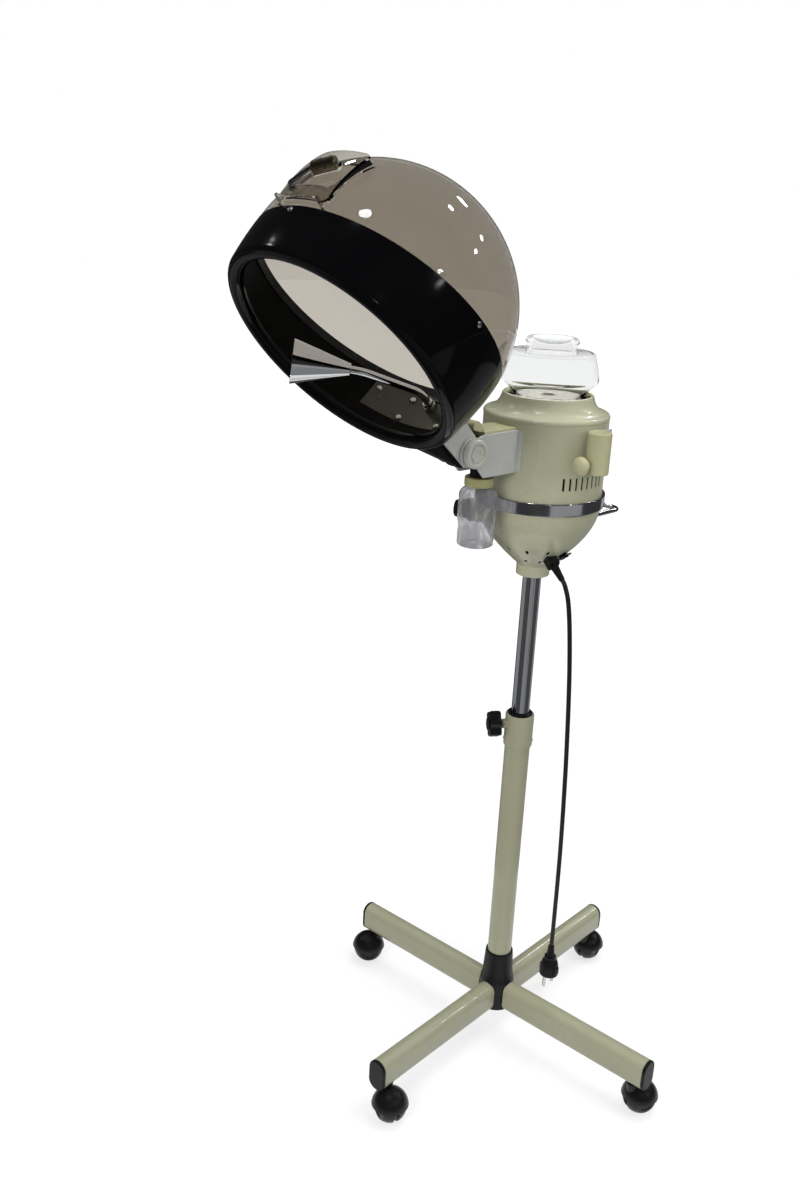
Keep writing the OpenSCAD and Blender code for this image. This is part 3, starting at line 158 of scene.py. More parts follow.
# %% Shader helpers
class Value:
    """One number, colour or vector inside a finish."""

    def __init__(self, finish, socket):
        self.finish, self.socket = finish, socket

    def maths(self, operation, *values):
        return self.finish.add("Math", {"operation": operation}, dict(enumerate(values)))

    def __add__(self, other):
        return self.maths("ADD", self, other)

    def __sub__(self, other):
        return self.maths("SUBTRACT", self, other)

    def __rsub__(self, other):
        return self.maths("SUBTRACT", other, self)

    def __mul__(self, other):
        return self.maths("MULTIPLY", self, other)

    __radd__, __rmul__ = __add__, __mul__


class Nodes:
    """A node tree that grows by `add`."""

    def __init__(self, tree):
        self.tree = tree

    def find(self, sockets, key):
        """A socket by its number, or the enabled one of that name."""
        if isinstance(key, int):
            return sockets[key]
        return [s for s in sockets if s.enabled and key in (s.name, s.identifier)][0]

    def put(self, socket, value):
        if isinstance(value, Value):
            self.tree.links.new(value.socket, socket)
        elif isinstance(value, tuple) and len(value) == 3 and socket.type == "RGBA":
            socket.default_value = (*value, 1.0)
        else:
            socket.default_value = value

    def add(self, kind, settings=None, values=None, out=0):
        node = self.tree.nodes.new("ShaderNode" + kind)
        for key, value in (settings or {}).items():
            if key == "stops":
                ramp = node.color_ramp
                ramp.elements[0].position, ramp.elements[1].position = value
            else:
                setattr(node, key, value)
        for key, value in (values or {}).items():
            self.put(self.find(node.inputs, key), value)
        return Value(self, self.find(node.outputs, out))


class Finish(Nodes):
    """A material: constants on the surface, and nodes for what changes over it."""

    def __init__(self, name, **constants):
        self.material = bpy.data.materials.new(name)
        self.material.use_nodes = True
        super().__init__(self.material.node_tree)
        self.surface = self.tree.nodes["Principled BSDF"]
        for key, value in constants.items():
            self.feed(key.replace("_", " ").title().replace("Ior", "IOR"), value)

    def feed(self, key, value):
        self.put(self.find(self.surface.inputs, key), value)

    def place(self, stretch=(1, 1, 1)):
        spot = self.add("TexCoord", out="Object")
        return self.add("Mapping", None, {"Vector": spot, "Scale": stretch}) if stretch != (1, 1, 1) else spot

    def grain(self, scale, detail=2.0, stretch=(1, 1, 1), roughness=0.5):
        return self.add("TexNoise", None, {"Vector": self.place(stretch), "Scale": scale, "Detail": detail,
            "Roughness": roughness}, "Fac")

    def between(self, value, low, high):
        return self.add("ValToRGB", {"stops": (low, high)}, {"Fac": value}, "Color")

    def mix(self, mask, first, second):
        return self.add("Mix", {"data_type": "RGBA"}, {"Factor": mask, "A": first, "B": second}, "Result")

    def bumps(self, height, strength, distance):
        self.feed("Normal", self.add("Bump", None, {"Height": height, "Strength": strength,
            "Distance": distance}, "Normal"))


# %% [markdown]
# ## Baked enamel
# The legs, tube and steam unit are steel with a warm cream enamel, glossy but not mirror-like.
# It has a very fine orange-peel ripple, faint clouding and rubbed marks that dull the gloss.

# %% Enamel finishes
def enamel(name, light, dark, rubbed=0.35):
    paint = Finish(name, coat_weight=0.3, coat_roughness=0.06, specular_ior_level=0.4)
    cloud = paint.between(paint.grain(9.0, 3.0), 0.35, 0.75)
    tone = paint.mix(cloud * 0.6, light, dark)
    specks = paint.between(paint.grain(420.0, 1.0), 0.72, 0.78)
    scuffs = paint.between(paint.grain(30.0, 5.0, (1, 1, 0.22), 0.7), 0.6, 0.78)
    tone = paint.mix(specks * 0.25, tone, tuple(0.6 * c for c in dark))
    paint.feed("Base Color", paint.mix(scuffs * 0.12, tone, tuple(0.75 * c for c in dark)))
    paint.feed("Roughness", 0.26 + cloud * 0.08 + scuffs * rubbed * 0.4)
    paint.bumps(paint.grain(650.0, 2.0) + scuffs * 0.3, 0.06, 0.0006)
    return paint.material


cream_enamel = enamel("cream_enamel", (0.47, 0.467, 0.325), (0.42, 0.416, 0.275))
# The stand's enamel is the same cream paint as the unit's, made about a fifth darker as painted shade on the
# legs, tube and collar.
shaded_stand_enamel = enamel("shaded_stand_enamel", (0.385, 0.382, 0.262), (0.335, 0.33, 0.215))
grey_enamel = enamel("grey_enamel", (0.5, 0.505, 0.475), (0.45, 0.455, 0.425))
olive_plate = enamel("olive_plate", (0.017, 0.0155, 0.007), (0.008, 0.007, 0.0035), 0.7)


# %% [markdown]
# ## Chrome and bare metal
# Chrome plate mirrors the room. What makes it read as real is the small change in its gloss:
# wiping marks round the tube, and haze where hands touch it.

# %% Metal finishes
def metal(name, tone, rough, haze=0.1, grain=(1, 1, 1), depth=0.02):
    plate = Finish(name, metallic=1.0)
    haze_mask = plate.between(plate.grain(18.0, 4.0), 0.4, 0.8)
    lines = plate.grain(260.0, 3.0, grain)
    plate.feed("Base Color", plate.mix(haze_mask * 0.5, tone, tuple(0.88 * c for c in tone)))
    plate.feed("Roughness", rough + haze_mask * haze + lines * 0.04)
    plate.bumps(lines, depth, 0.0004)
    return plate.material


chrome = metal("chrome_plate", (0.62, 0.62, 0.63), 0.03, 0.05, (0.2, 0.2, 4), 0.003)
band_chrome = metal("band_chrome", (0.6, 0.6, 0.61), 0.1, 0.08, (1, 1, 0.2), 0.01)
dark_chrome = metal("dark_chrome", (0.3, 0.29, 0.27), 0.08, 0.1)
zinc = metal("zinc_fixings", (0.62, 0.61, 0.58), 0.22, 0.15, (1, 1, 1), 0.1)
blackened = metal("blackened_screws", (0.08, 0.08, 0.085), 0.35, 0.15)
drawn_steel = metal("drawn_steel", (0.58, 0.58, 0.57), 0.25, 0.12, (1, 1, 8), 0.08)
dull_brass = metal("dull_brass", (0.25, 0.22, 0.15), 0.24, 0.2, (1, 1, 1), 0.15)


# %% [markdown]
# ## Plastics and rubber
# Black mouldings have a fine spark-eroded grain, so they never look pure black. The hood's band
# and the knobs are polished instead, with only smears in the gloss.

# %% Plastic finishes
def moulded(name, tone, rough, texture=0.12, coat=0.0, fine=900.0, sheen=0.5):
    resin = Finish(name, coat_weight=coat, coat_roughness=0.06, specular_ior_level=sheen)
    dusty = resin.between(resin.grain(7.0, 4.0), 0.45, 0.8)
    skin = resin.grain(fine, 2.0)
    resin.feed("Base Color", resin.mix(dusty * 0.35, tone, tuple(min(1.0, 1.25 * c + 0.002) for c in tone)))
    resin.feed("Roughness", rough + dusty * 0.08 + skin * 0.06)
    resin.bumps(skin, texture, 0.0004)
    return resin.material


black_plastic = moulded("black_plastic", (0.007, 0.007, 0.0075), 0.4, 0.2, 0.0, 900.0, 0.22)
caster_black = moulded("caster_black", (0.006, 0.006, 0.0065), 0.3, 0.14, 0.0, 900.0, 0.3)
polished_black = moulded("polished_black", (0.002, 0.002, 0.0024), 0.05, 0.008, 0.0, 900.0, 0.12)
knob_black = moulded("knob_black", (0.006, 0.006, 0.0068), 0.22, 0.08, 0.0, 900.0, 0.25)
cream_plastic = moulded("cream_plastic", (0.475, 0.455, 0.27), 0.3, 0.04, 0.2)
olive_plastic = moulded("olive_plastic", (0.34, 0.32, 0.15), 0.3, 0.04, 0.2)
grey_plastic = moulded("grey_plastic", (0.5, 0.5, 0.44), 0.32, 0.04, 0.15)
# A near-black finish, darker than the black mouldings, that paints shade inside the casing and inside the
# hood's band.
painted_shade_lining = moulded("painted_shade_lining", (0.0015, 0.0015, 0.0014), 0.45, 0.1, 0.0, 400.0, 0.07)
brown_resin = moulded("brown_resin", (0.12, 0.07, 0.035), 0.5, 0.2)
silicone = moulded("pale_silicone", (0.5, 0.47, 0.38), 0.55, 0.1)
flex_rubber = moulded("flex_rubber", (0.009, 0.009, 0.009), 0.48, 0.15)


# %% [markdown]
# ## Glass, clear film and smoked acrylic
# All three let light through, so they use transmission. The hood's acrylic is tinted brown-grey
# and each wall takes about half of the light. The drain bottle is a thin film that scatters part
# of the light, so it looks milky against the pale room.

# %% Clear finishes
def clear(name, tint, rough, smears, bend=1.45, depth=0.01, see_through=1.0, creased=0.0):
    pane = Finish(name, transmission_weight=see_through, ior=bend)
    wiped = pane.between(pane.grain(12.0, 4.0), 0.5, 0.85)
    tone = pane.mix(wiped * 0.3, tint, tuple(0.94 * c for c in tint))
    # With creased above zero, pale streaks are mixed into the tone: painted highlights along the film's
    # creases.
    if creased:
        painted_crease_highlights = pane.between(pane.grain(70.0, 3.0, (1, 1, 0.4), 0.6), 0.5, 0.64)
        tone = pane.mix(painted_crease_highlights * creased, tone, (0.97, 0.97, 0.98))
    pane.feed("Base Color", tone)
    pane.feed("Roughness", rough + wiped * smears)
    pane.bumps(pane.grain(25.0, 2.0), depth, 0.002)
    return pane.material


jar_glass = clear("jar_glass", (0.895, 0.9, 0.897), 0.0, 0.02, 1.13, 0.05)
smoked_acrylic = clear("smoked_acrylic", (0.485, 0.453, 0.402), 0.01, 0.03, 1.28)
# The last value sets how strongly pale crease highlights are painted on the drain bottle's film.
bottle_film = clear("bottle_film", (0.56, 0.562, 0.575), 0.05, 0.16, 1.35, 1.0, 0.86, 0.75)

# %% [markdown]
# ## Making a piece
# `lathe` spins a profile round the Z axis, `sweep` draws a round section along a path and
# `prism` gives an outline a thickness. `soften` bevels every sharp edge, and `keep` turns the
# bmesh into a piece of the steamer: in place, in metres, with its finish, riding on its body.

# %% Modelling helpers
def lathe(profile, steps=96, loop=False, angle=360.0, start=0.0):
    bm = bmesh.new()
    verts = [bm.verts.new((r, 0, z)) for r, z in profile]
    edges = [bm.edges.new(pair) for pair in zip(verts, verts[1:] + (verts[:1] if loop else []))]
    bmesh.ops.rotate(bm, cent=(0, 0, 0), matrix=Matrix.Rotation(math.radians(start), 3, "Z"), verts=verts)
    whole = angle == 360.0
    bmesh.ops.spin(bm, geom=verts + edges, cent=(0, 0, 0), axis=(0, 0, 1), angle=math.radians(angle),
        steps=steps, use_merge=whole)
    bmesh.ops.remove_doubles(bm, verts=bm.verts, dist=0.004)
    if not whole:
        bmesh.ops.holes_fill(bm, edges=bm.edges, sides=0)
    return bm


def arc(cx, cz, radius, first, last, count=14):
    """Points on a circle in a profile, from one angle to another in degrees."""
    turns = [math.radians(first + (last - first) * i / count) for i in range(count + 1)]
    return [(cx + radius * math.cos(t), cz + radius * math.sin(t)) for t in turns]


def curve(a, b, c, d, count):
    """Points on a cubic curve in a profile."""
    points = []
    for i in range(count + 1):
        t = i / count
        s = 1 - t
        weights = (s ** 3, 3 * s * s * t, 3 * s * t * t, t ** 3)
        points.append(tuple(sum(w * p[k] for w, p in zip(weights, (a, b, c, d))) for k in (0, 1)))
    return points


def sweep(path, radius, sides=20, closed_ends=True):
    bm = bmesh.new()
    path = [Vector(p) for p in path]
    steps = [(b - a).normalized() for a, b in zip(path, path[1:])]
    along = [steps[0]] + [(a + b).normalized() for a, b in zip(steps, steps[1:])] + [steps[-1]]
    radii = radius if isinstance(radius, (list, tuple)) else [radius] * len(path)
    spot = Matrix.Translation(path[0]) @ along[0].to_track_quat("Z", "Y").to_matrix().to_4x4()
    bmesh.ops.create_circle(bm, segments=sides, radius=radii[0], matrix=spot)
    edges = list(bm.edges)
    for i in range(1, len(path)):
        made = bmesh.ops.extrude_edge_only(bm, edges=edges)["geom"]
        end = [g for g in made if isinstance(g, bmesh.types.BMVert)]
        edges = [g for g in made if isinstance(g, bmesh.types.BMEdge) and all(v in end for v in g.verts)]
        bend = along[i - 1].rotation_difference(along[i]).to_matrix().to_4x4()
        shift = (Matrix.Translation(path[i]) @ bend @ Matrix.Scale(radii[i] / radii[i - 1], 4)
            @ Matrix.Translation(-path[i - 1]))
        bmesh.ops.transform(bm, matrix=shift, verts=end)
    if closed_ends:
        bmesh.ops.holes_fill(bm, edges=bm.edges, sides=0)
    return bm


def rounded_path(points, radius, count=8):
    """The corners of a path become arcs of about that radius."""
    points = [Vector(p) for p in points]
    path = [points[0]]
    for before, corner, after in zip(points, points[1:], points[2:]):
        a = corner + (before - corner).normalized() * radius
        b = corner + (after - corner).normalized() * radius
        for i in range(count + 1):
            t = i / count
            path.append((1 - t) ** 2 * a + 2 * t * (1 - t) * corner + t * t * b)
    return path + [points[-1]]


def extruded(bm, step, operator=bmesh.ops.extrude_face_region, **what):
    """Faces or edges are drawn out by a step."""
    made = operator(bm, **(what or {"geom": list(bm.faces)}))["geom"]
    bmesh.ops.translate(bm, vec=step, verts=[g for g in made if isinstance(g, bmesh.types.BMVert)])
    return bm


def prism(outline, depth):
    """An outline in the XY plane that is given a depth along +Z."""
    bm = bmesh.new()
    bm.faces.new([bm.verts.new((x, y, 0)) for x, y in outline])
    return outward(extruded(bm, (0, 0, depth)))


def block(low, high):
    bm = bmesh.new()
    size = [b - a for a, b in zip(low, high)]
    middle = [(a + b) / 2 for a, b in zip(low, high)]
    bmesh.ops.create_cube(bm, size=1.0, matrix=moved(*middle) @ Matrix.Diagonal((*size, 1)))
    return bm


def drum(radius, low, high, sides=64):
    """A plain round or many-sided bar along Z."""
    bm = bmesh.new()
    bmesh.ops.create_cone(bm, cap_ends=True, segments=sides, radius1=radius, radius2=radius, depth=high - low,
        matrix=moved(0, 0, (low + high) / 2))
    return bm


def soften(bm, width, segments=2, angle=28.0):
    outward(bm)
    sharp = [e for e in bm.edges if len(e.link_faces) == 2 and e.calc_face_angle(0) > math.radians(angle)]
    bmesh.ops.bevel(bm, geom=sharp, offset=width, segments=segments, profile=0.5, affect="EDGES", material=-1,
        clamp_overlap=True)
    return bm


def peg(radius, low, high, sides, width, segments=2):
    return soften(drum(radius, low, high, sides), width, segments)


def slab(low, high, width, segments=2):
    return soften(block(low, high), width, segments)


def ring(profile, steps, width, segments=2, angle=28.0):
    """A closed section that is spun all the way round."""
    return soften(lathe(profile, steps, True), width, segments, angle)


def put(bm, matrix):
    bmesh.ops.transform(bm, matrix=matrix, verts=bm.verts)
    return bm


def outward(bm):
    bmesh.ops.recalc_face_normals(bm, faces=bm.faces)
    return bm


def mesh_of(bm, name):
    """The bmesh as a mesh of Blender's; the bmesh is freed."""
    mesh = bpy.data.meshes.new(name)
    bm.to_mesh(mesh)
    bm.free()
    return mesh


def joined(*parts):
    """Several bmeshes as one."""
    whole = bmesh.new()
    for part in parts:
        scrap = mesh_of(part, "scrap")
        whole.from_mesh(scrap)
        bpy.data.meshes.remove(scrap)
    return whole


def carved(bm, *cutters, keep_inside=False):
    """Cuts the cutters out of bm with Blender's Boolean, applied at once."""
    tool_bm = joined(*cutters)
    for solid in (bm, tool_bm):
        outward(solid)
    body = linked("carved_body", mesh_of(bm.copy(), "carved_body"))
    tool = linked("carving_tool", mesh_of(tool_bm, "carving_tool"))
    cut = body.modifiers.new("carve", "BOOLEAN")
    cut.operation = "INTERSECT" if keep_inside else "DIFFERENCE"
    cut.solver = "EXACT"
    cut.use_self = len(cutters) > 1
    cut.object = tool
    bpy.context.view_layer.update()
    result = bpy.data.meshes.new_from_object(body.evaluated_get(bpy.context.evaluated_depsgraph_get()))
    bm.clear()
    bm.from_mesh(result)
    for helper in (body, tool):
        bpy.data.objects.remove(helper)
    return bm


made_pieces = []


def keep(bm, name, body, finish, node=None, place=Matrix.Identity(4), smooth=35.0):
    """A bmesh, or a list of them, becomes a piece: placed, in metres, finished, and riding on its body."""
    bm = joined(*bm) if isinstance(bm, list) else bm
    put(bm, Matrix.Scale(MM, 4) @ place)
    outward(bm)
    piece = linked(name, mesh_of(bm, name))
    piece.data.shade_smooth()
    piece.data.set_sharp_from_angle(angle=math.radians(smooth))
    piece.data.materials.append(finish)
    even_shading = piece.modifiers.new("even_shading", "WEIGHTED_NORMAL")
    even_shading.keep_sharp = True
    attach(piece, body)
    if node:
        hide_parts(node)
    made_pieces.append(name)
    return piece


# %% [markdown]
# ## The mains lead
# The lead leaves the strain relief under the bowl, turns down under its own weight and hangs
# plumb to its plug, which is clear of the floor. The points are those of the CAD source, and
# the curve's handles are a sixth of the way between neighbours, so both follow one smooth line.

# %% Mains lead and plug
LEAD_ROUTE = [
    (78.6, -31.8, 815), (84.5, -34.2, 812), (90, -36, 805), (95.5, -36.8, 793), (99.5, -36.6, 775),
    (102.3, -35.5, 752), (104.5, -33.5, 722), (106.3, -30.8, 685), (107.8, -27.8, 640), (109, -24.8, 590),
    (110, -22, 540), (110.8, -19.8, 490), (111.4, -17.8, 440), (111.8, -16.2, 390), (112, -15.2, 340),
    (112, -14.5, 295), (112, -14, 255), (112, -14, 231)]
lead_curve = bpy.data.curves.new("mains_lead", "CURVE")
lead_curve.dimensions = "3D"
lead_curve.bevel_depth = 3.25 * MM
lead_curve.bevel_resolution = 4
lead_curve.resolution_u = 8
lead_curve.use_fill_caps = True
spline = lead_curve.splines.new("BEZIER")
spline.bezier_points.add(len(LEAD_ROUTE) - 1)
route = [Vector(p) * MM for p in LEAD_ROUTE]
for i, knot in enumerate(spline.bezier_points):
    before, after = route[max(i - 1, 0)], route[min(i + 1, len(route) - 1)]
    knot.co = route[i]
    knot.handle_left_type = knot.handle_right_type = "FREE"
    knot.handle_left = route[i] - (after - before) / 6
    knot.handle_right = route[i] + (after - before) / 6
mains_lead = linked("mains_lead", lead_curve)
lead_curve.materials.append(flex_rubber)
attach(mains_lead, "head")
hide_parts("power_cord")
PLUG_TOP = 231
plug_profile = ([(0, 0), (4.6, 0)] + curve((4.6, -2), (5.4, -8), (5.8, -14), (6.2, -18), 6)
    + [(9, -18), (9.2, -22.5), (8, -23)] + curve((10.2, -24), (12, -27), (13.2, -31), (13.8, -36), 6)
    + [(14.4, -48), (14.1, -50), (0, -50)])
plug_body = soften(lathe(plug_profile, 48), 0.5)
grips = [put(block((12.8, -6, z - 1), (14.6, 6, z + 1)), turned(side, "Z")) for z in (-36, -40, -44)
    for side in (0, 180)]
grooves = [lathe([(5.6, z - 0.8), (9, z - 0.8), (9, z + 0.8), (5.0, z + 0.8)], 32, True)
    for z in (-5, -9, -13)]
plug_piece = keep([carved(plug_body, *grooves), *[soften(g, 0.5) for g in grips]], "mains_plug", "head",
    black_plastic, "plug", moved(112, -14, PLUG_TOP))
pins = joined(*[put(peg(2.4, -69, -49, 24, 1.0, 3), moved(0, s * 9.5, 0)) for s in (-1, 1)])
plug_pins = keep(pins, "plug_pins", "head", zinc, place=moved(112, -14, PLUG_TOP))

# %% [markdown]
# ## The cross base
# Four flat-oval tubes meet in a black hub. A stadium outline comes from a circle whose upper
# half is moved up and lower half down, which keeps the two long sides straight.

# %% Hub
hub_profile = ([(0, 63), (12.8, 63), (13, 56), (25.6, 56), (26.8, 56.6), (27.2, 58), (27.2, 96)]
    + curve((27.2, 103), (26.4, 108), (25, 112), (24.2, 118), 8) + curve((24, 121), (23.2, 134), (22.4, 146),
    (22, 154), 4) + [(21.6, 157), (20.8, 158), (19.1, 158), (19.1, 128), (0, 128)])
keep(soften(lathe(hub_profile, 96), 0.4, 2, 40), "hub_moulding", "stand", black_plastic, "hub")


# %% Legs
def stadium(width, height, sides=48):
    """A flat-oval edge loop in the YZ plane, round the origin."""
    bm = bmesh.new()
    verts = bmesh.ops.create_circle(bm, segments=sides, radius=width / 2,
        matrix=turned(180 / sides, "Z"))["verts"]
    for v in verts:
        v.co.y += math.copysign((height - width) / 2, v.co.y)
    bmesh.ops.transform(bm, matrix=turned(90, "Z") @ turned(90, "X"), verts=verts)
    return bm


def flat_oval_bar(width, height, x0, x1, sides=48):
    bm = stadium(width, height, sides)
    bmesh.ops.translate(bm, vec=(x0, 0, 0), verts=bm.verts)
    extruded(bm, (x1 - x0, 0, 0), bmesh.ops.extrude_edge_only, edges=bm.edges)
    bmesh.ops.holes_fill(bm, edges=bm.edges, sides=0)
    return bm


for leg in LEG_TURNS:
    tube = soften(flat_oval_bar(30, 50, 24.5, 283), 0.5, 2, 60)
    keep(tube, f"leg_tube_{leg}", "stand", shaded_stand_enamel, f"leg_{leg}", on_leg(leg, 0, FLOOR_TO_LEG))
caps = []
for leg in LEG_TURNS:
    cap = soften(flat_oval_bar(30.4, 50.4, 282.6, 288), 2.4, 4, 60)
    skirt = peg(10.5, 52.8 + 1.4, 55.4, 40, 0.4)
    caps += [put(cap, on_leg(leg, 0, FLOOR_TO_LEG)), put(skirt, on_leg(leg, STEM_REACH, 0))]
keep(caps, "leg_end_caps", "stand", black_plastic, "leg_caps")

# %% [markdown]
# ## Ball casters
# Each caster is a forked shell over two half-ball wheels. The wheels are lathed: a domed tread,
# a moulding line and a recessed hub, mirrored to the other side of the web.

# %% Casters
def half_ball(side):
    profile = ([(0, 3.6), (24.2, 3.6), (25.0, 4.2)] + [(r, z) for z, r in arc(0, 0, 25.3, 80, 41, 12)]
        + [(15.6, 18.6), (12.4, 19.6), (11.6, 18.4), (5.2, 18.0), (4.6, 19.3), (0, 19.5)])
    bm = soften(lathe(profile, 64), 0.35, 2, 40)
    return put(bm, turned(90 * side, "X"))


def caster_shell():
    ball = bmesh.new()
    bmesh.ops.create_uvsphere(ball, u_segments=64, v_segments=48, radius=28.3)
    hollow = bmesh.new()
    bmesh.ops.create_uvsphere(hollow, u_segments=64, v_segments=48, radius=26.4)
    lower = block((-40, -40, -60), (40, 40, 3.5))
    return soften(carved(ball, hollow, lower), 0.5, 2, 40)


shell_mesh = caster_shell()
for leg in LEG_TURNS:
    shell = put(shell_mesh.copy(), moved(15, 0, 25))
    stem = peg(8.9, 40, 54.6, 48, 0.8)
    web = put(peg(21, -2.9, 2.9, 48, 0.5), moved(15, 0, 25) @ turned(90, "X"))
    web = carved(web, block((-40, -40, -60), (60, 40, 13)))
    keep([shell, stem, web], f"caster_fork_{leg}", f"caster_{leg}", caster_black, f"caster_{leg}",
        on_caster(leg))
    wheels = joined(half_ball(1), half_ball(-1), put(drum(3, -4, 4, 24), turned(90, "X")))
    keep(wheels, f"caster_wheels_{leg}", f"wheels_{leg}", caster_black, f"wheels_{leg}", on_caster(leg)
        @ moved(15, 0, 25))
print("pieces so far:", len(made_pieces))

# %% [markdown]
# ## The column
# An enamelled tube carries a clamping collar with a black bush. The chrome mast slides in it and
# a lobed hand knob holds its height.

# %% Tube, collar and mast
tube_profile = [(17.5, 72), (19, 72), (19, 575.5), (17.5, 575.5)]
keep(ring(tube_profile, 72, 0.3), "column_tube", "stand", shaded_stand_enamel, "outer_tube")
CLAMP_TURN, CLAMP_Z = 235, 559
collar_profile = [(19.02, 525), (21, 525), (21.5, 526), (21.5, 574.4), (20.8, 576), (19.02, 576)]
collar = carved(lathe(collar_profile, 96, True), *[put(drum(2.7, 18, 30, 24), sideways(a, 533))
    for a in (39, 219)])
boss = put(ring([(4.1, 19.5), (7.6, 19.5), (7.2, 26), (6.2, 27.5), (4.1, 27.5)], 40, 0.4),
    sideways(CLAMP_TURN, CLAMP_Z))
keep([collar, boss], "clamp_collar", "stand", shaded_stand_enamel, "collar")
bush = ring([(13.6, 546), (17.4, 546), (17.4, 576), (18.2, 576), (18.2, 578.2), (17.6, 579), (13.6, 579)], 72,
    0.3)
keep(bush, "collar_bush_ring", "stand", black_plastic, "collar_bush")
keep(ring([(12, 166), (13.5, 166), (13.5, 834), (12, 834)], 72, 0.3), "mast_tube", "mast", chrome,
    "chrome_mast")

# %% Star knob
lobes = bmesh.new()
bmesh.ops.create_circle(lobes, segments=72, radius=1.0, cap_ends=True)
for v in lobes.verts:
    turn = math.atan2(v.co.y, v.co.x)
    if v.co.length > 0.5:
        v.co = v.co.normalized() * (18.3 + 2.7 * math.cos(6 * turn))
lobes = soften(extruded(lobes, (0, 0, 17.5)), 3.4, 5, 50)
knob_neck = peg(9, -1.2, 1, 40, 0.5)
knob_disc = peg(10, 17, 19.6, 48, 1.2, 3)
screw = drum(3.9, -15.5, 0.5, 24)
keep([lobes, knob_neck, knob_disc, screw], "star_hand_knob", "clamp_screw", knob_black, "star_knob",
    turned(CLAMP_TURN, "Z") @ moved(29.6, 0, CLAMP_Z) @ turned(90, "Y"))

# %% [markdown]
# ## The steam unit's bowl
# The bowl is a spun steel funnel. Two rows of small round-ended slots let air in above its
# neck. The slots are carved, so that they are real holes in the mesh.

# %% Bowl
def stadium_cutter(width, length, depth):
    """A slot cutter that points along X, long in Z."""
    bm = bmesh.new()
    verts = bmesh.ops.create_circle(bm, segments=16, radius=width / 2, cap_ends=True,
        matrix=turned(11.25, "Z"))["verts"]
    for v in verts:
        v.co.y += math.copysign((length - width) / 2, v.co.y)
    return put(extruded(bm, (0, 0, depth)), turned(90, "Z") @ turned(90, "X") @ moved(0, 0, -depth / 2))


bowl_skin = ([(24, NECK), (24, NECK + 16)] + curve((27, NECK + 19), (58, NECK + 45.6), (84.5, NECK + 73.8),
    (UNIT_R, BAND_FOOT), 22) + [(UNIT_R, BAND_FOOT + 9)])
bowl_inside = [(r - 1.9, z) for r, z in reversed(bowl_skin[2:])]
bowl_profile = ([(13.6, NECK + 0.4), (23.2, NECK), (24, NECK + 0.8)] + bowl_skin[1:] + bowl_inside
    + [(21.5, NECK + 40), (13.6, NECK + 40)])
slots = []
for k in range(12):
    upper, lower = -91 + 30 * k, -97 + 30 * k
    if abs(upper - 3) > 14:
        slots.append(put(stadium_cutter(4.4, 10.2, 14), on_bowl(upper, 56, NECK + 46.7, 43)))
    if abs(lower - 3) > 14 and abs(lower + 22) > 14:
        slots.append(put(stadium_cutter(4.8, 7.6, 12), on_bowl(lower, 37.5, NECK + 28.6, 48)))
bowl_bm = carved(ring(bowl_profile, 128, 0.5, 2, 40), *slots)
switch_hole = put(block((-12, -6.5, -7.5), (8, 6.5, 7.5)), SWITCH)
bowl_bm = carved(bowl_bm, switch_hole)
regulator_boss = put(ring([(3.2, 66), (17.2, 66), (15.8, 92), (14.6, 94.5), (3.2, 94.5)], 64, 0.6), KNOB_AXLE)
keep([bowl_bm, regulator_boss], "unit_bowl", "head", cream_enamel, "bowl")
# The heat shield is a near-black sheet behind the casing's vents and the bowl's slots: painted shade inside
# the casing.
lining = ([(26, NECK + 24)] + [(r - 4, z + 1) for r, z in bowl_skin[3:]] + [(82, 1010), (81, 1010)]
    + [(r - 5, z + 1) for r, z in reversed(bowl_skin[3:])] + [(25, NECK + 24)])
shield = carved(lathe(lining, 96, True), *[put(block((-30, -9, -9), (20, 9, 9)), spot)
    for spot in (SWITCH, GLAND)])
keep(shield, "heat_shield", "head", painted_shade_lining)
keep(ring([(86.6, BAND_FOOT), (90.4, BAND_FOOT), (91, BAND_FOOT + 1), (91, BAND_FOOT + 17),
    (90.2, BAND_FOOT + 18), (86.6, BAND_FOOT + 18)], 144, 0.5), "unit_chrome_band", "head", band_chrome,
    "chrome_band")

# %% Casing
casing_skin = ([(UNIT_R, BAND_FOOT + 10), (86.5, 1026.4), (86.2, 1027)] + curve((86.6, 1027.3),
    (87.6, 1029.4), (87, 1033.4), (83.6, 1034.2), 8) + curve((82.6, 1034.3), (71.5, 1036.5), (65.2, 1044),
    (62.6, 1056), 14) + [(62, 1056.8), (59, 1057.2), (58.3, 1056.6), (58, 1053)])
casing_inside = [(60.6, 1053), (62.4, 1045), (69, 1036.4), (80, 1032.2), (84.9, 1027), (84.9, BAND_FOOT + 10)]
vents = []
for side, sense in ((0, 1), (180, -1)):
    for k in range(8):
        vents.append(put(stadium_cutter(3.3, 18, 16), turned(side + sense * (-30 + 6.4 * k), "Z")
            @ moved(UNIT_R, 0, 949)))
casing_bm = carved(ring(casing_skin + casing_inside, 144, 0.35, 2, 50), *vents)
keep(casing_bm, "unit_casing", "head", cream_enamel, "casing")

# %% [markdown]
# ## The glass jar
# A pressed glass jar stands on the boiler's gasket. Its wall is thick at the rolled neck and the
# light bends in it, so the piece is a closed shell with an inner and an outer surface.

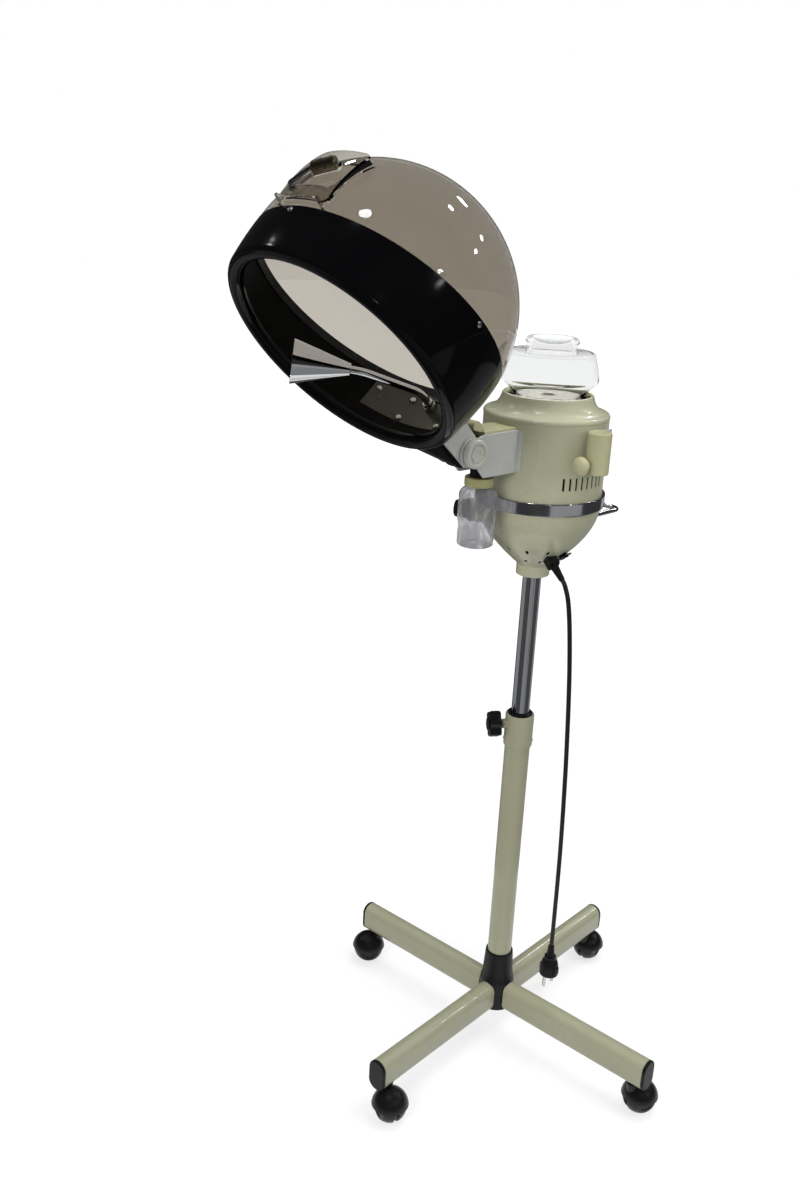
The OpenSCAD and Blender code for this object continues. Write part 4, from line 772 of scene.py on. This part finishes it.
# %% Jar
jar_outer = ([(8, 0.2), (44.5, 0.2), (46, 0.8)] + curve((47, 1.6), (54, 10), (63, 18.5), (65.8, 21.6), 8)
    + curve((66.4, 22.4), (67, 24), (66.8, 27), (66.2, 30), 4) + curve((65.4, 34), (62.6, 46), (61.6, 51),
    (60.4, 55), 5) + curve((59.4, 58.6), (57, 61.2), (51, 61.6), (44, 61.4), 6) + curve((39, 61.4),
    (34, 61.2), (33.2, 62.5), (33, 65.4), 4) + arc(30.5, 73, 6.2, -62, 90, 12))
jar_inner = (arc(30.2, 75.6, 3.4, 100, 180, 4) + [(26.8, 70), (27.4, 66), (28.6, 61), (31, 59.6), (44, 59.2)]
    + curve((51, 59.2), (57, 58.4), (58.2, 54), (59.6, 47), 6) + [(63.7, 31), (64.6, 26.6), (63.9, 23.4)]
    + curve((61.6, 20.4), (53.6, 12.2), (46.4, 4.6), (43.8, 3.2), 8) + [(40, 2.8), (8, 2.8)])
jar = keep(lathe(jar_outer + jar_inner, 128, True), "glass_jar", "jar", jar_glass, "jar",
    moved(0, 0, JAR_FOOT), smooth=50)
jar.visible_shadow = False

# %% Boiler flange under the jar
flange_profile = [(12, 1046), (57.9, 1046), (57.9, 1050.6), (57.4, 1051), (34, 1051), (32, 1049.4),
    (12, 1049.4)]
keep(ring(flange_profile, 96, 0.3), "boiler_flange", "head", cream_plastic)
screw_heads = []
for k in range(8):
    head = soften(lathe([(0, 1051), (4, 1051), (3.9, 1052), (2.6, 1053), (0, 1053.2)], 24), 0.2)
    screw_heads.append(put(head, turned(22 + 45 * k, "Z") @ moved(51, 0, 0)))
keep(screw_heads, "flange_screws", "head", blackened, "boiler_screws")
keep(ring([(12, 1049.5), (32, 1049.5), (33, 1051), (45, 1051), (45, 1052.6), (44.4, 1053), (12, 1053)], 96,
    0.3), "jar_gasket", "head", silicone, "boiler_gasket")

# %% Lifting handle
handle_path = rounded_path([(-61, 42, 890), (-61, 108, 890), (61, 108, 890), (61, 42, 890)], 12)
keep(sweep(handle_path, 3.5, 24), "lifting_handle", "head", band_chrome, "u_handle")

# %% Regulator knob
grip = lathe([(0, 96.3), (17, 96.3), (17, 98.2), (16, 99.2), (14, 100), (12.6, 116), (11.4, 119.4),
    (9.6, 120.3), (0, 120.3)], 96)
for v in grip.verts:
    if v.co.z > 99.5 and v.co.xy.length > 9:
        v.co.xy *= 1 + 0.03 * math.copysign(1, math.cos(16 * math.atan2(v.co.y, v.co.x)))
pointer = slab((-1.1, -16.4, 97.5), (1.1, -8, 99.4), 0.4)
keep([soften(grip, 0.35, 2, 40), pointer, drum(3, 60, 97, 24)], "regulator_grip", "regulator", knob_black,
    "regulator_knob", KNOB_AXLE)

# %% [markdown]
# ## Switch and cable gland
# The small rocker switch and the square gland sit on the bowl's slope. Both are placed with
# `on_bowl`, whose X axis points straight out of the skin.

# %% Switch and gland
switch_body = carved(soften(joined(block((-11, -6.4, -7.4), (2, 6.4, 7.4)),
    block((1.6, -8, -9), (3.9, 8, 9))), 0.7, 2), block((-5, -4.4, -5.9), (8, 4.4, 5.9)))
keep(switch_body, "switch_bezel", "head", knob_black, "switch_frame", SWITCH)
rocker_outline = [(-2, -3), (3.6, -5.2), (5.2, -5.0), (3.5, 0), (5.2, 5.0), (3.6, 5.2), (-2, 3)]
rocker_bm = put(soften(prism(rocker_outline, 8), 0.4), turned(90, "X") @ moved(0, 0, -4))
keep(rocker_bm, "switch_rocker", "rocker", polished_black, "rocker", SWITCH @ turned(8, "Y"))
gland_block = slab((-2.5, -7.5, -7.5), (18, 7.5, 7.5), 1.4, 3)
relief = [(0, 17.5), (6, 17.5), (5.9, 20), (5.0, 21)]
for k in range(5):
    z = 21.5 + 4.4 * k
    r = 5.75 - 0.32 * k
    relief += [(r, z), (r - 0.1, z + 2.4), (r - 0.9, z + 3.0), (r - 0.95, z + 4.0)]
relief += [(4.2, 43.6), (4.0, 45), (0, 45)]
relief_bm = put(lathe(relief, 36), turned(90, "Y"))
screws = [put(peg(1.6, 17.6, 18.7, 20, 0.3), turned(90, "Y") @ moved(x, y, 0)) for x in (-5.2, 5.2)
    for y in (-5.2, 5.2)]
keep([gland_block, relief_bm, *screws], "cable_gland", "head", black_plastic, "strain_relief", GLAND)

# %% [markdown]
# ## Accessory socket
# A cream moulding takes the rod of an add-on. It has a flat foot, a bore from the top and a
# mushroom knob that clamps the rod.

# %% Accessory socket
SOCKET = turned(-8, "Z")
socket_body = peg(16, 967, 1023, 96, 1.8, 3)
foot = slab((-16, -11, 967.6), (0, 11, 1022.4), 1.2, 3)
clamp_boss = put(peg(8, 0, 19, 40, 0.6), moved(0, 0, 980) @ turned(90, "X"))
socket_body = carved(joined(socket_body, foot, clamp_boss), drum(5, 973, 1030, 48))
keep(put(socket_body, moved(106, 0, 0)), "accessory_holder", "head", cream_plastic, "accessory_socket",
    SOCKET)
knob_profile = [(0, 0), (7, 0), (7, 4.4)] + curve((8, 4.6), (14.6, 5.2), (17.2, 17.5), (0, 19.6), 22)
keep(soften(lathe(knob_profile, 64), 0.6, 3, 45), "holder_knob", "socket_clamp", cream_plastic, "socket_knob",
    SOCKET @ moved(106, 0, 980) @ turned(90, "X") @ moved(0, 0, 19.3))
bore_liner = put(lathe([(3.8, 974), (4.95, 974), (4.95, 1021.5), (3.8, 1021.5)], 48, True), moved(106, 0, 0))
keep(bore_liner, "holder_bore", "head", black_plastic, place=SOCKET)
plate_bm = joined(slab((87, -2, 969), (90, 38, 1021), 0.7, 2),
    slab((87.1, 27, 1018), (89.9, 38, 1039), 0.7, 2))
pad = slab((80, 2, 975), (88, 14, 1015), 0.5, 2)
plate_bm = carved(joined(plate_bm, pad), drum(86.6, 940, 1060, 144))
keep(plate_bm, "holder_plate", "head", grey_enamel, "socket_plate", SOCKET)

# %% [markdown]
# ## The arm and its tilt joint
# Two folded grey plates run out from the casing and hold the hood's own bracket between them.
# A bolt with a round knob clamps the tilt.

# %% Arm plates
def side_plate(outline, x0, x1, width=0.8):
    """A plate in the YZ plane between two X values; the outline is given as (y, z)."""
    return put(soften(prism(outline, x1 - x0), width, 2), moved(x0, 0, 0)
        @ Matrix(((0, 0, 1, 0), (1, 0, 0, 0), (0, 1, 0, 0), (0, 0, 0, 1))))


arm_outline = ([(-80, 961), (-146, 962), (-160, 977)] + arc(-171, 998, 20, -62, -270, 26)
    + [(-162, 1016), (-151, 1019), (-80, 1019)])
arm_parts = [side_plate(arm_outline, 20.5, 24), side_plate(arm_outline, -24, -20.5),
    slab((-21, -92, 961), (21, -72, 964), 0.6)]
for side in (1, -1):
    lip = lathe([(86.5, 963), (88.3, 963), (88.3, 1017), (86.5, 1017)], 8, True, 5.0, -90 + side * 17.6 - 2.5)
    arm_parts.append(soften(lip, 0.5, 2, 40))
arm_parts = [carved(part, drum(UNIT_R, 940, 1040, 144)) for part in arm_parts]
keep(arm_parts, "arm_plates", "head", grey_enamel, "arm_bracket")
cover_side = [(-60, 1009), (-146, 1015), (-147, 1023), (-84, 1022), (-60, 1022)]
cover = carved(side_plate(cover_side, -20.4, 20.4, 1.2), drum(86.45, 940, 1100, 144))
lobe_side = [(-141, 1016), (-145, 1020)] + arc(-156, 1029, 7.6, 210, 20, 10) + [(-141, 1023)]
lobe = side_plate(lobe_side, -16.4, 16.4, 1.0)
keep([cover, lobe], "arm_cover_moulding", "head", cream_plastic, "arm_cover")

# %% Tilt knob and bolt
tilt_knob = [(4.1, 0), (16.5, 0), (17.2, 1.2), (18.6, 2.2), (19, 4), (19, 7.4), (18, 9.4), (16.6, 10),
    (13.6, 10), (13, 8.4), (4.1, 8.4)]
knob_bm = ring(tilt_knob, 96, 0.4, 2, 40)
hex_ring = peg(11.8, 7.8, 9.7, 6, 0.7, 2)
keep([knob_bm, carved(hex_ring, drum(6.4, 8.9, 12, 6))], "tilt_hand_knob", "tilt_knob", grey_plastic,
    "pivot_knob", TILT_AXLE @ moved(0, 0, 24.3))

# %% Steam duct, drain cap and bottle
duct = ring([(7, 86.6), (13, 86.6), (13, 148), (12, 149), (7, 149)], 64, 0.4)
duct = put(duct, moved(0, 0, 992) @ turned(90, "X"))
boss = put(peg(13, 957, 990, 64, 0.6), moved(*DRAIN, 0))
yoke_profile = [(22.9, -9), (26.3, -9), (26.3, 9), (22.9, 9)]
yoke = put(soften(lathe(yoke_profile, 30, True, 96.0, 47.0), 0.5), TILT_AXLE)
duct = carved(joined(duct, boss), put(drum(22.9, -30, 30, 64), TILT_AXLE))
keep([duct, yoke], "steam_duct_moulding", "head", black_plastic, "steam_duct")
cap_bm = lathe([(0, 957), (18.6, 957), (19.5, 956), (19.5, 946), (19, 945), (16.1, 945), (16.1, 953.6),
    (0, 953.6)], 120)
for v in cap_bm.verts:
    if 945.5 < v.co.z < 956.5 and v.co.xy.length > 19:
        v.co.xy *= 1 - 0.014 * (math.cos(40 * math.atan2(v.co.y, v.co.x)) > 0)
keep(soften(cap_bm, 0.3, 2, 60), "drain_cap", "head", olive_plastic, "bottle_cap", moved(*DRAIN, 0))

# %% [markdown]
# ## The drain bottle
# Condensed steam drips into a thin clear bottle. Its film is creased all over, so the walls are
# moved in and out with a ridged noise before they are given their thickness.

# %% Drain bottle
BOTTLE_FOOT = 863
bottle_line = ([(0, 1.5), (18, 0.8), (22, 0), (24.4, 1.6), (25.4, 4)] + [(25.5 + 0.038 * i, 8 + 1.45 * i)
    for i in range(41)] + curve((27, 69), (26.8, 75), (21, 79), (16, 81), 7) + [(16, 90.3)])
bottle_bm = lathe(bottle_line, 120)
for v in bottle_bm.verts:
    if 3 < v.co.z < 80:
        crease = noise.ridged_multi_fractal(v.co * 0.075, 0.9, 2.2, 4, 0.95, 2.2, noise_basis="PERLIN_NEW")
        fold = noise.noise(v.co * 0.035)
        v.co.xy *= 1 - 0.045 * min(crease, 2.4) / 1.4 - 0.07 * max(fold, 0)
outward(bottle_bm)
bottle = keep(bottle_bm, "drain_bottle", "bottle", bottle_film, "bottle", moved(*DRAIN, BOTTLE_FOOT),
    smooth=25)
film = bottle.modifiers.new("film", "SOLIDIFY")
film.thickness = 0.8 * MM
film.offset = -1
print("pieces so far:", len(made_pieces))

# %% [markdown]
# ## The hood's band
# The black band is the lower part of the hood. Its wall follows the dome's sphere and then pulls
# in towards the rolled lip. It is spun as a closed section and cut along the tilted seam.

# %% Band
def wall_r(z):
    return math.sqrt(DOME_R ** 2 - z * z) if z > 0 else DOME_R - 6.1 * (z / 68) ** 2


def wall_line(z0, z1, by, count):
    return [(wall_r(z0 + (z1 - z0) * i / count) + by, z0 + (z1 - z0) * i / count) for i in range(count + 1)]


band_profile = (wall_line(30, -68, 0, 24) + arc(149, -68, 9.5, -12, -204, 22)
    + arc(149, -68, 7.0, -204, -20, 18) + wall_line(-62, 30, -WALL, 22))
seam_normal = SEAM_TURN.to_3x3() @ Vector((0, 0, 1))


def below_seam(bm):
    bmesh.ops.bisect_plane(bm, geom=list(bm.verts) + list(bm.edges) + list(bm.faces), plane_co=(0, 0, SEAM_Z),
        plane_no=seam_normal, clear_outer=True)
    bmesh.ops.bridge_loops(bm, edges=[e for e in bm.edges if e.is_boundary])
    return bm


pipe_hole = put(drum(5.1, 120, 180, 32), moved(0, 0, -8) @ turned(-90, "X"))
keep(carved(below_seam(lathe(band_profile, 192, True)), pipe_hole.copy()), "hood_band", "hood",
    polished_black, "band", HOOD, smooth=40)

# A rough near-black sheet over the band's inner wall darkens the inside of the hood: painted shade.
lining_profile = wall_line(30, -56, -WALL - 0.05, 20) + wall_line(-56, 30, -WALL - 0.6, 20)
keep(carved(below_seam(lathe(lining_profile, 160, True)), pipe_hole), "hood_band_lining", "hood",
    painted_shade_lining, place=HOOD, smooth=40)

# %% Dome
seam_height = SEAM_Z * seam_normal.z
lowest = math.degrees(math.asin(seam_height / DOME_R))
lowest_in = math.degrees(math.asin(seam_height / (DOME_R - WALL)))
dome_profile = arc(0, 0, DOME_R, 90, lowest, 56) + arc(0, 0, DOME_R - WALL, lowest_in, 90, 56)
dome_bm = put(lathe(dome_profile, 192), SEAM_TURN)
window = slab((-28, -190, 14), (28, -120, 64), 9, 5)
cheek_slots = [block((s * 38 - 1.6, -190, -3), (s * 38 + 1.6, -90, 68)) for s in (-1, 1)]
dome_bm = carved(dome_bm, window, *cheek_slots)
ears = [slab((s * 34 - 1.4, -172.2, -12), (s * 34 + 1.4, -160, -8), 1.2, 3) for s in (-1, 1)]
dome_bm = joined(dome_bm, *ears)
keep(dome_bm, "hood_dome", "hood", smoked_acrylic, "dome", HOOD, smooth=40)
ring_profile = arc(0, 0, DOME_R - WALL - 0.7, -2.6, 1.0, 3) + arc(0, 0, DOME_R - WALL - 2.1, 1.0, -2.6, 3)
keep(put(lathe(ring_profile, 160, True), SEAM_TURN), "seam_ring", "hood", black_plastic, "inner_ring", HOOD)

# %% Vent flap with its lever
flap_shell = lathe(arc(0, 0, 168.5, 70, -6, 40) + arc(0, 0, 166.0, -6, 70, 40), 200, True)
flap_cut = slab((-40, -200, -9.6), (40, -60, 70), 8, 5)
flap_bm = carved(flap_shell, flap_cut, keep_inside=True)
cheeks = []
for s in (-1, 1):
    rim = arc(0, 0, 161.2, 0.5, 23.5, 16)
    lower = [(r - 0.6 - 7.5 * (z - rim[0][1]) / 64, z) for r, z in rim]
    outline = [(-r, z) for r, z in rim] + [(-r, z) for r, z in reversed(lower[1:])]
    cheeks.append(side_plate(outline, s * 38 - 0.8, s * 38 + 0.8, 0.2))
LEVER_FOOT, LEVER_BEND, LEVER_END = Vector((-18, -175.9, 1.7)), Vector((-5, -173.2, 24.4)), Vector((24, -168,
    40.8))


def towards(a, b):
    return Matrix.Translation(a) @ (b - a).to_track_quat("Z", "Y").to_matrix().to_4x4()


flap_bm = carved(flap_bm, put(drum(9.5, 1, 35, 40), towards(LEVER_BEND, LEVER_END)))
hinge_bar = put(peg(1.3, -32.4, 32.4, 32, 0.4), moved(*FLAP_HINGE) @ turned(90, "Y"))
keep([flap_bm, hinge_bar], "vent_flap", "flap", smoked_acrylic, "flap", FLAP, smooth=40)
keep(cheeks, "flap_cheeks", "flap", black_plastic, place=FLAP)
pin_ends = [put(peg(1.7, 158, 164.6, 24, 0.5), turned(math.degrees(math.atan2(s * 36, 160.6)), "Z")
    @ moved(0, 0, -11.7) @ turned(90, "X")) for s in (-1, 1)]
keep(pin_ends, "hinge_pin_ends", "hood", zinc, place=HOOD)
lever = sweep(rounded_path([LEVER_FOOT.normalized() * 168.2, LEVER_FOOT, LEVER_BEND, LEVER_END], 4, 6), 2.4,
    20)
lever_pad = put(peg(4.2, 168.3, 171.5, 32, 0.6),
    LEVER_FOOT.normalized().to_track_quat("Z", "Y").to_matrix().to_4x4())
keep([lever, lever_pad], "flap_lever", "flap", dark_chrome, "flap_rod", FLAP)
knurl_rows = [5.2 + 1.6 * i for i in range(17)]
knurl = lathe([(2.5, 4), (6.0, 4), (7.0, 4.8)] + [(7.6, z) for z in knurl_rows]
    + [(7.0, 31.6), (6.0, 32.4), (2.5, 32.4)], 36, True)
for v in knurl.verts:
    if v.co.xy.length > 7.5:
        step = round((v.co.z - 5.2) / 1.6) + round(math.degrees(math.atan2(v.co.y, v.co.x)) / 10)
        v.co.xy *= 1.04 if step % 2 else 0.86
keep(knurl, "knurled_grip", "flap_grip", dull_brass, "flap_knob", FLAP @ towards(LEVER_BEND, LEVER_END),
    smooth=20)

# %% Rim rivets
rivets = []
for turn in (-91, -1, 89, 179):
    across = turned(turn, "Z") @ Vector((0, -DOME_R, 0))
    z = SEAM_Z - (seam_normal.x * across.x + seam_normal.y * across.y) / seam_normal.z - 6
    head = soften(lathe([(0, -2), (1.8, -2), (1.8, 0), (3.6, 0), (3.4, 0.8), (2.2, 1.7), (0, 2)], 28), 0.2)
    rivets.append(put(head, turned(turn, "Z") @ moved(0, -wall_r(z), z) @ turned(90, "X")))
keep(rivets, "rim_rivet_heads", "hood", zinc, "rim_rivets", HOOD)

# %% [markdown]
# ## Bracket, duct and back plate
# The bracket's flange is a slice of a spun ring, so it lies on the band's curve. The black duct
# between the plates is a hull round its drum and its shoe.

# %% Hood bracket
def rear_slice(z0, z1, inner, outer, half_angle, steps):
    section = wall_line(z0, z1, outer, 8) + wall_line(z1, z0, inner, 8)
    return lathe(section, steps, True, 2 * half_angle, 90 - half_angle)


hood_side = ([(249, -25), (244, -25.3), (197, -31), (150, -41), (150, 14), (212, 13)]
    + arc(240, -6, 20, 90, -65, 16))
plates = carved(joined(side_plate(hood_side, 17, 20), side_plate(hood_side, -20, -17)),
    lathe([(0, -75)] + wall_line(-75, 30, 0.1, 16) + [(0, 30)], 160))
flange = soften(rear_slice(-46, 12, 0.1, 3, 14.8, 20), 0.7, 2, 50)
keep([plates, flange], "hood_bracket_plates", "hood", grey_enamel, "hood_bracket", HOOD)
shoe = put(peg(22.3, -9, 9, 48, 1.2, 3), moved(0, 240, -6) @ turned(90, "Y"))
hull = joined(put(drum(21, -8.5, 8.5, 48), moved(0, 240, -6) @ turned(90, "Y")),
    block((-15.5, 158, -62), (15.5, 166, 2)))
skin = bmesh.ops.convex_hull(hull, input=hull.verts)
bmesh.ops.delete(hull, geom=[g for g in skin["geom_interior"]
    + skin["geom_unused"] if isinstance(g, bmesh.types.BMVert)], context="VERTS")
bmesh.ops.dissolve_limit(hull, angle_limit=0.02, verts=hull.verts, edges=hull.edges)
hull = carved(soften(hull, 1.5, 3, 40), lathe([(0, -80)] + wall_line(-80, 30, 0.3, 16) + [(0, 30)], 160))
keep([shoe, hull], "hood_duct_moulding", "hood", black_plastic, "hood_duct", HOOD)
plate_slice = carved(soften(rear_slice(-41, 14, -4.5, -3.02, 33, 40), 0.5, 2, 50), put(drum(6, 120, 180, 32),
    moved(0, 0, -8) @ turned(-90, "X")))
keep(plate_slice, "inner_back_plate", "hood", olive_plate, "back_plate", HOOD)

# %% Back plate fixings
def at_rear(x, z):
    return turned(-math.degrees(math.asin(x / wall_r(z))), "Z") @ moved(0, wall_r(z), z) @ turned(-90, "X")


fixings = []
for s in (-1, 1):
    for z in (-36, -5):
        nut = peg(4.4, 3, 5.2, 6, 0.4)
        head = soften(lathe([(0, -7.4), (2.6, -7.4), (4.4, -6.2), (4.6, -4.6), (0, -4.6)], 28), 0.3)
        fixings.append(put(joined(nut, head, drum(2.6, -5, 6.4, 20)), at_rear(s * 34, z)))
    for x, z in ((57, 8), (82, -10)):
        head = soften(lathe([(0, -6.2), (2.0, -6.0), (3.9, -4.9), (4.0, -4.5), (0, -4.5)], 28), 0.2)
        cap = soften(lathe([(0, 0), (3.4, 0), (3.0, 0.9), (0, 1.4)], 28), 0.2)
        fixings.append(put(joined(head, cap), at_rear(s * x, z)))
keep(fixings, "back_plate_fixings", "hood", zinc, "plate_screws", HOOD)

# %% [markdown]
# ## Steam pipe and cone
# A chrome pipe comes through the back plate with a union nut, bends towards the opening and
# ends in a thin-walled cone that spreads the steam.

# %% Pipe and cone
PIPE_MID, CONE_START, CONE_END = Vector((0, 132, -8)), Vector((-35.6, 52.6, -52.8)), Vector((-80, 11, -88))
cone_dir = (CONE_END - CONE_START).normalized()
pipe = sweep(rounded_path([(0, 170, -8), PIPE_MID, CONE_START - cone_dir * 14, CONE_START + cone_dir * 4], 12,
    10), 4.7, 28)
union_nut = put(peg(9, -12, -5, 6, 0.8, 2), at_rear(0, -8))
collar_ring = put(peg(7, -17, -12, 40, 0.8, 2), at_rear(0, -8))
keep([pipe, union_nut, collar_ring], "steam_pipe_tube", "nozzle", chrome, "steam_pipe", HOOD)
cone_profile = [(4.75, 0), (7.0, 0), (7.6, 0.8), (7.8, 2.4), (27 - 0.2, 69.4), (27, 70), (25.6, 70),
    (7.2, 5.4), (4.75, 4.8)]
keep(ring(cone_profile, 96, 0.2), "steam_cone", "nozzle", chrome, "nozzle",
    HOOD @ towards(CONE_START, CONE_END))

# %% [markdown]
# ## CAD nodes that stay
# Hidden working parts and small fixings keep their CAD shape and only take a finish.

# %% Finishes for the CAD nodes
kept_nodes = {
    "mast_foot": black_plastic, "boiler": drawn_steel, "heater": blackened, "regulator_body": brown_resin,
    "stand_screws": zinc, "pivot_bolt": zinc,
}
for node, finish in kept_nodes.items():
    mesh = frame["nodes"][node].data
    mesh.materials.clear()
    mesh.materials.append(finish)
print("CAD nodes kept:", sorted(kept_nodes))

# %% [markdown]
# ## Studio
# The floor and the world are white for the camera and for glass and metal. A floor that only
# glowed would hide the object's shadow, so under the object part of its light is the lamps' own,
# and further off the glow rises and takes over.

# %% Floor
def disc(radius, x, y, height, sides=32):
    bm = bmesh.new()
    bmesh.ops.create_circle(bm, segments=sides, radius=radius, cap_ends=True, matrix=moved(x, y, height))
    return bm


def seen_by(finish, *rays):
    """1 for the kinds of ray that are named, 0 for the others."""
    path = finish.add("LightPath", out="Is Camera Ray")
    found = path
    for ray in rays:
        found = found.maths("MAXIMUM", found, Value(finish, path.socket.node.outputs[ray]))
    return found


studio_floor = linked("studio_floor", mesh_of(disc(14.0, 0, 0, -0.0005, 96), "studio_floor"))
floor_finish = Finish("studio_floor", roughness=1.0, specular_ior_level=0.0)
floor_finish.feed("Base Color", (0.42, 0.42, 0.42))
away = floor_finish.add("VectorMath", {"operation": "LENGTH"}, {0: floor_finish.place()}, "Value")
glow = floor_finish.mix(floor_finish.between(away * 0.2, 0.2, 0.6), (0.66, 0.66, 0.66), (0.9, 0.9, 0.9))
seen = seen_by(floor_finish, "Is Glossy Ray", "Is Transmission Ray")
floor_finish.feed("Emission Color", floor_finish.mix(seen, (0.0, 0.0, 0.0), glow))
floor_finish.feed("Emission Strength", 1.0)
studio_floor.data.materials.append(floor_finish.material)

# %% [markdown]
# Polished things need something dark to mirror. A tent of black felt stands round the steamer,
# and pale and dark cards lie on its floor in turn, in a near ring and a far ring of six each.
# The far ring starts half a card further round, so the two break each other up. The mast
# and the chrome band mirror the cards as upright streaks, and small hall lamps give the sparks
# on the hood. Only glossy rays see all these.

# %% Felt tent, floor cards and hall lamps
def only_mirrored(bm, name, level):
    glow = Finish(f"{name}_glow", roughness=1.0, specular_ior_level=0.0)
    glow.feed("Base Color", (0.0, 0.0, 0.0))
    glow.feed("Emission Color", (0.95, 0.97, 1.0))
    glow.feed("Emission Strength", level)
    card = linked(name, mesh_of(bm, name))
    card.data.materials.append(glow.material)
    card.visible_camera = card.visible_diffuse = card.visible_transmission = card.visible_shadow = False


only_mirrored(lathe([(7.1, 0.0004), (7.1, 3.4), (5.4, 4.9), (2.6, 5.3), (0, 5.3)], 48), "felt_tent", 0.035)
CARDS = 6
CARD_TURN = 360 / CARDS
CARD_RINGS = (("near", 0.5, 2.7, -60, 0.3, 0.08), ("far", 2.7, 7.0, -30, 0.4, 0.05))
for where, inner, outer, first_card, pale, dark in CARD_RINGS:
    for k in range(CARDS):
        first = first_card + CARD_TURN * k
        bm = bmesh.new()
        corners = (arc(0, 0, outer, first, first + CARD_TURN, 20)
            + arc(0, 0, inner, first + CARD_TURN, first, 20))
        bm.faces.new([bm.verts.new((x, y, 0.0006)) for x, y in corners])
        only_mirrored(bm, f"{where}_card_{k}", dark if k % 2 else pale)

HALL_LAMPS = [(0.1, -1.0, 0.2), (0.3, 2.2, 0.14), (-0.9, 3.8, 0.26), (2.4, 3.9, 0.24), (1.0, 4.6, 0.24),
    (4.6, 0.8, 0.2), (-2.0, 0.3, 0.14), (4.4, -2.6, 0.2), (-3.6, -1.6, 0.2), (6.0, 1.1, 0.22)]
for k, (x, y, radius) in enumerate(HALL_LAMPS):
    only_mirrored(disc(radius, x, y, 4.0), f"hall_lamp_{k}", 42.0)

# %% World and lamps
world = bpy.data.worlds.new("studio")
scene.world = world
world.use_nodes = True
world.node_tree.nodes.clear()
sky = Nodes(world.node_tree)
soft = sky.add("Background", None, {"Color": (0.95, 0.97, 1.0), "Strength": 0.5}, "Background")
white = sky.add("Background", None, {"Color": (1.0, 1.0, 1.0), "Strength": 1.0}, "Background")
shown = sky.add("MixShader", None, {0: seen_by(sky, "Is Glossy Ray", "Is Transmission Ray"), 1: soft,
    2: white})
world_output = sky.tree.nodes.new("ShaderNodeOutputWorld")
sky.tree.links.new(shown.socket, world_output.inputs["Surface"])


def softbox(name, spot, target, width, height, power):
    data = bpy.data.lights.new(name, "AREA")
    data.shape = "RECTANGLE"
    data.size, data.size_y = width, height
    data.energy = power
    lamp = linked(name, data)
    lamp.visible_glossy = lamp.visible_transmission = False
    facing = (Vector(target) - Vector(spot)).to_track_quat("-Z", "Y")
    lamp.matrix_world = Matrix.Translation(Vector(spot)) @ facing.to_matrix().to_4x4()


softbox("side_softbox", (2.6, 1.3, 2.0), (0, -0.1, 0.7), 0.8, 2.0, 16)
softbox("front_softbox", (0.9, -3.0, 2.0), (0, -0.1, 1.0), 1.4, 1.4, 52)
softbox("top_softbox", (0.5, 0.3, 3.4), (0, 0, 0.8), 1.6, 1.6, 40)
